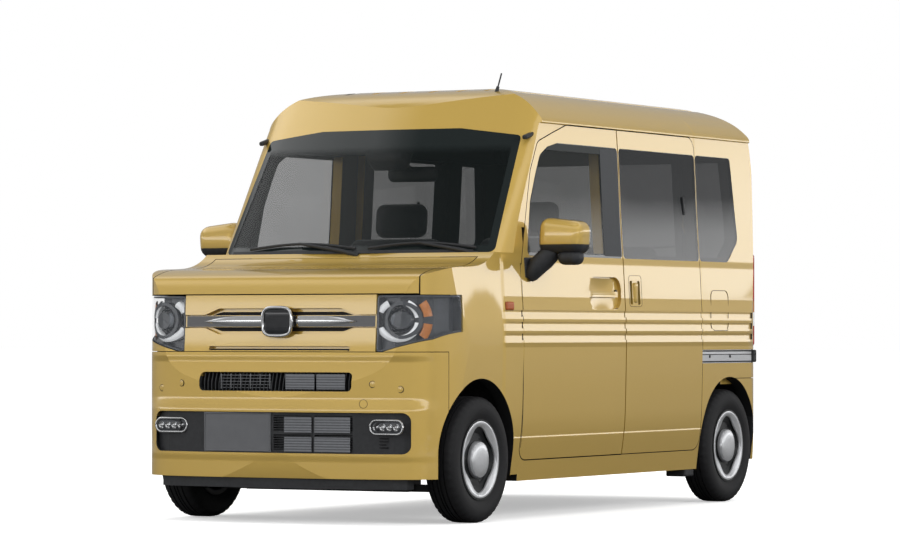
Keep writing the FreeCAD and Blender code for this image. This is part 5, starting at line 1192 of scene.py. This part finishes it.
# Studio
# The sky that shiny surfaces see: angles above the ground in degrees, and their light
SKY_STRENGTH = 3.0
SKY = ((0.0, 0.36), (3.15, 0.36), (6.8, 0.40), (9.5, 0.45), (14, 0.37), (24, 0.36), (29, 0.37), (34, 0.40),
       (44, 0.90), (54, 0.80), (58, 0.12), (68, 0.12), (74, 0.60), (90, 0.60))
BAND = ((2.9, 0.0), (3.15, 2.14), (6.8, 1.60), (9.5, 0.0))
BAND_CORNER, BAND_AHEAD = (0.10, 0.24), (-0.02, -0.22)
PANEL_SIDE, PANEL_FOOT, PANEL_SHARE = (-0.55, -0.80), (0.45, 0.60), 0.30
WHITE = (1, 1, 1, 1)
FLOOR_GLOW = 0.42
FLOOR_NEAR, FLOOR_FAR, FLOOR_DARK, FLOOR_PALE = 3.0, 24.0, 0.10, 0.36
AIM = Vector((0, 0, 0.9))


def sky_ramp(tree, height, stops):
    """A light level over the angle above the ground, as a share of SKY_STRENGTH."""
    ramp = wired(tree, "ValToRGB", {"Fac": height})
    levels = ramp.color_ramp.elements
    while len(levels) < len(stops):
        levels.new(0.5)
    for level, (angle, light) in zip(levels, stops):
        level.position = math.sin(math.radians(angle))
        level.color = (*[light / SKY_STRENGTH] * 3, 1)
    return ramp.outputs["Color"]


def seen_plainly(tree):
    """1 for rays that show the backdrop itself: from the camera or through glass."""
    path = wired(tree, "LightPath").outputs
    return maths(tree, "MAXIMUM", path["Is Camera Ray"], path["Is Transmission Ray"])


def build_world(settings):
    """White to the camera, a studio sky to glossy rays and an even light to all others.

    The sky has a bright low band, as of long soft boxes, ahead and at the rear left, and one tall panel.
    """
    world = bpy.context.scene.world or bpy.data.worlds.new("studio")
    bpy.context.scene.world = world
    world.use_nodes = True
    tree = world.node_tree
    tree.nodes.clear()
    place = wired(tree, "TexCoord").outputs["Generated"]
    split = wired(tree, "SeparateXYZ", {"Vector": place}).outputs
    across, height = split["X"], split["Z"]
    corner = step(tree, product(tree, across, split["Y"]), *BAND_CORNER)
    toward = maths(tree, "MAXIMUM", corner, step(tree, split["Y"], *BAND_AHEAD))
    band = product(tree, toward, sky_ramp(tree, height, BAND))
    panel = product(tree, step(tree, across, *PANEL_SIDE), step(tree, height, *PANEL_FOOT), PANEL_SHARE)
    seen = total(tree, sky_ramp(tree, height, SKY), band, panel)
    sky = wired(tree, "Background", {"Color": seen, "Strength": SKY_STRENGTH})
    even = wired(tree, "Background", {"Color": WHITE, "Strength": settings.sky})
    glossy = wired(tree, "LightPath").outputs["Is Glossy Ray"]
    light = wired(tree, "MixShader", {"Fac": glossy, 1: even.outputs[0], 2: sky.outputs[0]})
    back = wired(tree, "Background", {"Color": WHITE, "Strength": 1.0})
    mix = wired(tree, "MixShader", {"Fac": seen_plainly(tree), 1: light.outputs[0], 2: back.outputs[0]})
    out = wired(tree, "OutputWorld")
    tree.links.new(mix.outputs[0], out.inputs["Surface"])


def floor_material():
    """White to the camera but for the shadow; a dark studio ground, paler far away, to all other rays."""
    m = material("pale_floor", (0.88, 0.88, 0.88), 0.9, tint=0.01, scale=2.0, specular=0.0)
    tree = m.node_tree
    pale = tree.nodes["Principled BSDF"]
    pale.inputs["Emission Color"].default_value = WHITE
    pale.inputs["Emission Strength"].default_value = FLOOR_GLOW
    place = wired(tree, "TexCoord").outputs["Object"]
    far = wired(tree, "VectorMath", {0: place}, operation="LENGTH").outputs["Value"]
    share = ramped(tree, far, FLOOR_NEAR, FLOOR_FAR, FLOOR_DARK, FLOOR_PALE)
    dark = wired(tree, "BsdfDiffuse", {"Color": share})
    mix = wired(tree, "MixShader", {"Fac": seen_plainly(tree), 1: dark.outputs[0], 2: pale.outputs[0]})
    out = tree.nodes["Material Output"]
    tree.links.new(mix.outputs[0], out.inputs["Surface"])
    return m


LIGHTS = {
    "top": ((0.5, -1.0, 7.0), (8, 8), 90),
    "left": ((12.0, -3.0, 4.5), (7, 5), 900),
    "front": ((-3.0, -13.0, 4.5), (7, 5), 640),
    "back": ((-3.0, 13.0, 4.5), (7, 5), 600),
    "right": ((-12.0, 2.0, 4.5), (7, 5), 450),
}


def build_stage(settings):
    build_world(settings)
    bm = bmesh.new()
    bmesh.ops.create_grid(bm, x_segments=2, y_segments=2, size=settings.floor_half)
    data = bpy.data.meshes.new("floor")
    bm.to_mesh(data)
    bm.free()
    floor = bpy.data.objects.new("floor", data)
    bpy.context.collection.objects.link(floor)
    data.materials.append(floor_material())
    for name, (place, size, power) in LIGHTS.items():
        lamp = bpy.data.lights.new(name, "AREA")
        lamp.shape = "RECTANGLE"
        lamp.size, lamp.size_y = size
        lamp.energy = power
        obj = bpy.data.objects.new(name, lamp)
        obj.location = place
        obj.rotation_euler = (AIM - Vector(place)).to_track_quat("-Z", "Y").to_euler()
        obj.visible_glossy = False
        bpy.context.collection.objects.link(obj)
    camera = bpy.data.objects.new("camera", bpy.data.cameras.new("camera"))
    camera.data.sensor_width = 36
    camera.data.lens = settings.lens
    camera.data.clip_end = 400
    camera.location = settings.eye
    yaw, pitch = settings.yaw, settings.pitch
    way = Vector((-math.sin(yaw) * math.cos(pitch), math.cos(yaw) * math.cos(pitch), -math.sin(pitch)))
    camera.rotation_euler = way.to_track_quat("-Z", "Y").to_euler()
    bpy.context.collection.objects.link(camera)
    bpy.context.scene.camera = camera
    bpy.context.scene.view_settings.view_transform = "Standard"


# Settings
class KV_PG_paint(bpy.types.PropertyGroup):
    colour: bpy.props.FloatVectorProperty(name="Paint", description="Base colour of the body's paint", size=3,
                                          default=(0.62, 0.415, 0.095), min=0.0, max=1.0, subtype="COLOR")


class KV_PG_tyres(bpy.types.PropertyGroup):
    segments: bpy.props.IntProperty(name="Segments", description="Steps around the tread", default=132,
                                    min=24)
    groove: bpy.props.FloatProperty(name="Groove", description="Depth of the shoulder cuts", default=0.005,
                                    unit="LENGTH")


class KV_PG_wheels(bpy.types.PropertyGroup):
    steps: bpy.props.IntProperty(name="Steps", description="Steps around the silver ring", default=120,
                                 min=24)
    ring_inner: bpy.props.FloatProperty(name="Ring inside",
                                        description="Mean inner radius of the silver ring",
                                        default=0.129, unit="LENGTH")
    ring_outer: bpy.props.FloatProperty(name="Ring outside", description="Outer radius of the silver ring",
                                        default=0.166, unit="LENGTH")
    lobe: bpy.props.FloatProperty(name="Lobe", description="Wave of the ring's inner edge", default=0.011,
                                  unit="LENGTH")


class KV_PG_front(bpy.types.PropertyGroup):
    bar_height: bpy.props.FloatProperty(name="Bar height", description="Height of the grille bar's middle",
                                        default=0.854, unit="LENGTH")
    bar_half: bpy.props.FloatProperty(name="Bar half", description="Half of the bar's own height",
                                      default=0.024, unit="LENGTH")
    fog_x: bpy.props.FloatProperty(name="Fog lamp X", description="Distance of a fog lamp from the middle",
                                   default=0.527, unit="LENGTH")
    fog_height: bpy.props.FloatProperty(name="Fog lamp height", description="Height of the fog lamps",
                                        default=0.412, unit="LENGTH")


class KV_PG_seats(bpy.types.PropertyGroup):
    seat_x: bpy.props.FloatProperty(name="Seat X", description="Distance of a front seat from the middle",
                                    default=0.340, unit="LENGTH")


class KV_PG_stage(bpy.types.PropertyGroup):
    sky: bpy.props.FloatProperty(name="Sky", description="Strength of the light from all around", default=0.7)
    floor_half: bpy.props.FloatProperty(name="Floor half", description="Half size of the floor",
                                        default=150.0, unit="LENGTH")
    lens: bpy.props.FloatProperty(name="Lens", description="Focal length in millimetres", default=163.567)
    eye: bpy.props.FloatVectorProperty(name="Eye", description="Camera position", size=3,
                                       default=(8.853042, -16.483293, 0.803496), subtype="TRANSLATION")
    yaw: bpy.props.FloatProperty(name="Yaw", description="Camera heading off the van's axis", default=0.49614,
                                 subtype="ANGLE")
    pitch: bpy.props.FloatProperty(name="Pitch", description="Camera tilt, down is positive",
                                   default=-0.01303, subtype="ANGLE")


GROUPS = {"kv_paint": KV_PG_paint, "kv_tyres": KV_PG_tyres, "kv_wheels": KV_PG_wheels,
          "kv_front": KV_PG_front, "kv_seats": KV_PG_seats, "kv_stage": KV_PG_stage}


class KV_OT_surfaces(bpy.types.Operator):
    """Give every carried-over node its material"""
    bl_idname = "object.kv_surfaces"
    bl_label = "Surfaces"

    def execute(self, context):
        build_surfaces()
        return {"FINISHED"}


class KV_OT_tyres(bpy.types.Operator):
    """Build the four tyres with their tread"""
    bl_idname = "object.kv_tyres"
    bl_label = "Tyres"

    def execute(self, context):
        build_tyres(context.scene.kv_tyres)
        return {"FINISHED"}


class KV_OT_wheels(bpy.types.Operator):
    """Build the wheels' silver rings and hub caps"""
    bl_idname = "object.kv_wheels"
    bl_label = "Wheel trims"

    def execute(self, context):
        build_wheels(context.scene.kv_wheels)
        return {"FINISHED"}


class KV_OT_grille(bpy.types.Operator):
    """Build the bright bar and the plain badge of the grille"""
    bl_idname = "object.kv_grille"
    bl_label = "Grille bar"

    def execute(self, context):
        build_grille(context.scene.kv_front)
        return {"FINISHED"}


class KV_OT_headlamps(bpy.types.Operator):
    """Build what shows behind the headlamp covers"""
    bl_idname = "object.kv_headlamps"
    bl_label = "Headlamps"

    def execute(self, context):
        build_headlamps()
        return {"FINISHED"}


class KV_OT_bumper(bpy.types.Operator):
    """Build the fog lamps, sensors and covers of the front bumper"""
    bl_idname = "object.kv_bumper"
    bl_label = "Bumper details"

    def execute(self, context):
        build_bumper(context.scene.kv_front)
        return {"FINISHED"}


class KV_OT_mirrors(bpy.types.Operator):
    """Build the door mirrors"""
    bl_idname = "object.kv_mirrors"
    bl_label = "Mirrors"

    def execute(self, context):
        build_mirrors()
        return {"FINISHED"}


class KV_OT_sides(bpy.types.Operator):
    """Build handles, lids and small parts of the flanks"""
    bl_idname = "object.kv_sides"
    bl_label = "Side details"

    def execute(self, context):
        build_sides()
        return {"FINISHED"}


class KV_OT_rear(bpy.types.Operator):
    """Build the small parts of the tailgate and rear bumper"""
    bl_idname = "object.kv_rear"
    bl_label = "Rear details"

    def execute(self, context):
        build_rear()
        return {"FINISHED"}


class KV_OT_seats(bpy.types.Operator):
    """Build the padded seats and belts"""
    bl_idname = "object.kv_seats"
    bl_label = "Seats"

    def execute(self, context):
        build_seats(context.scene.kv_seats)
        return {"FINISHED"}


class KV_OT_cabin(bpy.types.Operator):
    """Build the small parts of the cabin"""
    bl_idname = "object.kv_cabin"
    bl_label = "Cabin details"

    def execute(self, context):
        build_cabin()
        return {"FINISHED"}


class KV_OT_wipers(bpy.types.Operator):
    """Build the wiper arms and blades"""
    bl_idname = "object.kv_wipers"
    bl_label = "Wipers"

    def execute(self, context):
        build_wipers()
        return {"FINISHED"}


class KV_OT_stage(bpy.types.Operator):
    """Set the floor, the lights and the camera"""
    bl_idname = "object.kv_stage"
    bl_label = "Studio"

    def execute(self, context):
        build_stage(context.scene.kv_stage)
        return {"FINISHED"}


OPERATORS = (KV_OT_surfaces, KV_OT_tyres, KV_OT_wheels, KV_OT_grille, KV_OT_headlamps, KV_OT_bumper,
             KV_OT_mirrors, KV_OT_sides, KV_OT_rear, KV_OT_seats, KV_OT_cabin, KV_OT_wipers, KV_OT_stage)


class KV_PT_panel(bpy.types.Panel):
    bl_idname = "KV_PT_panel"
    bl_label = "Kei Van"
    bl_space_type = "VIEW_3D"
    bl_region_type = "UI"
    bl_category = "Kei Van"

    def draw(self, context):
        for operator in OPERATORS:
            self.layout.operator(operator.bl_idname)


def register():
    for cls in (*GROUPS.values(), *OPERATORS, KV_PT_panel):
        bpy.utils.register_class(cls)
    for name, cls in GROUPS.items():
        setattr(bpy.types.Scene, name, bpy.props.PointerProperty(type=cls))


def unregister():
    for name in GROUPS:
        delattr(bpy.types.Scene, name)
    for cls in reversed((*GROUPS.values(), *OPERATORS, KV_PT_panel)):
        bpy.utils.unregister_class(cls)


def main():
    register()
    for operator in OPERATORS:
        group, name = operator.bl_idname.split(".")
        getattr(getattr(bpy.ops, group), name)()


if __name__ == "__main__":
    main()
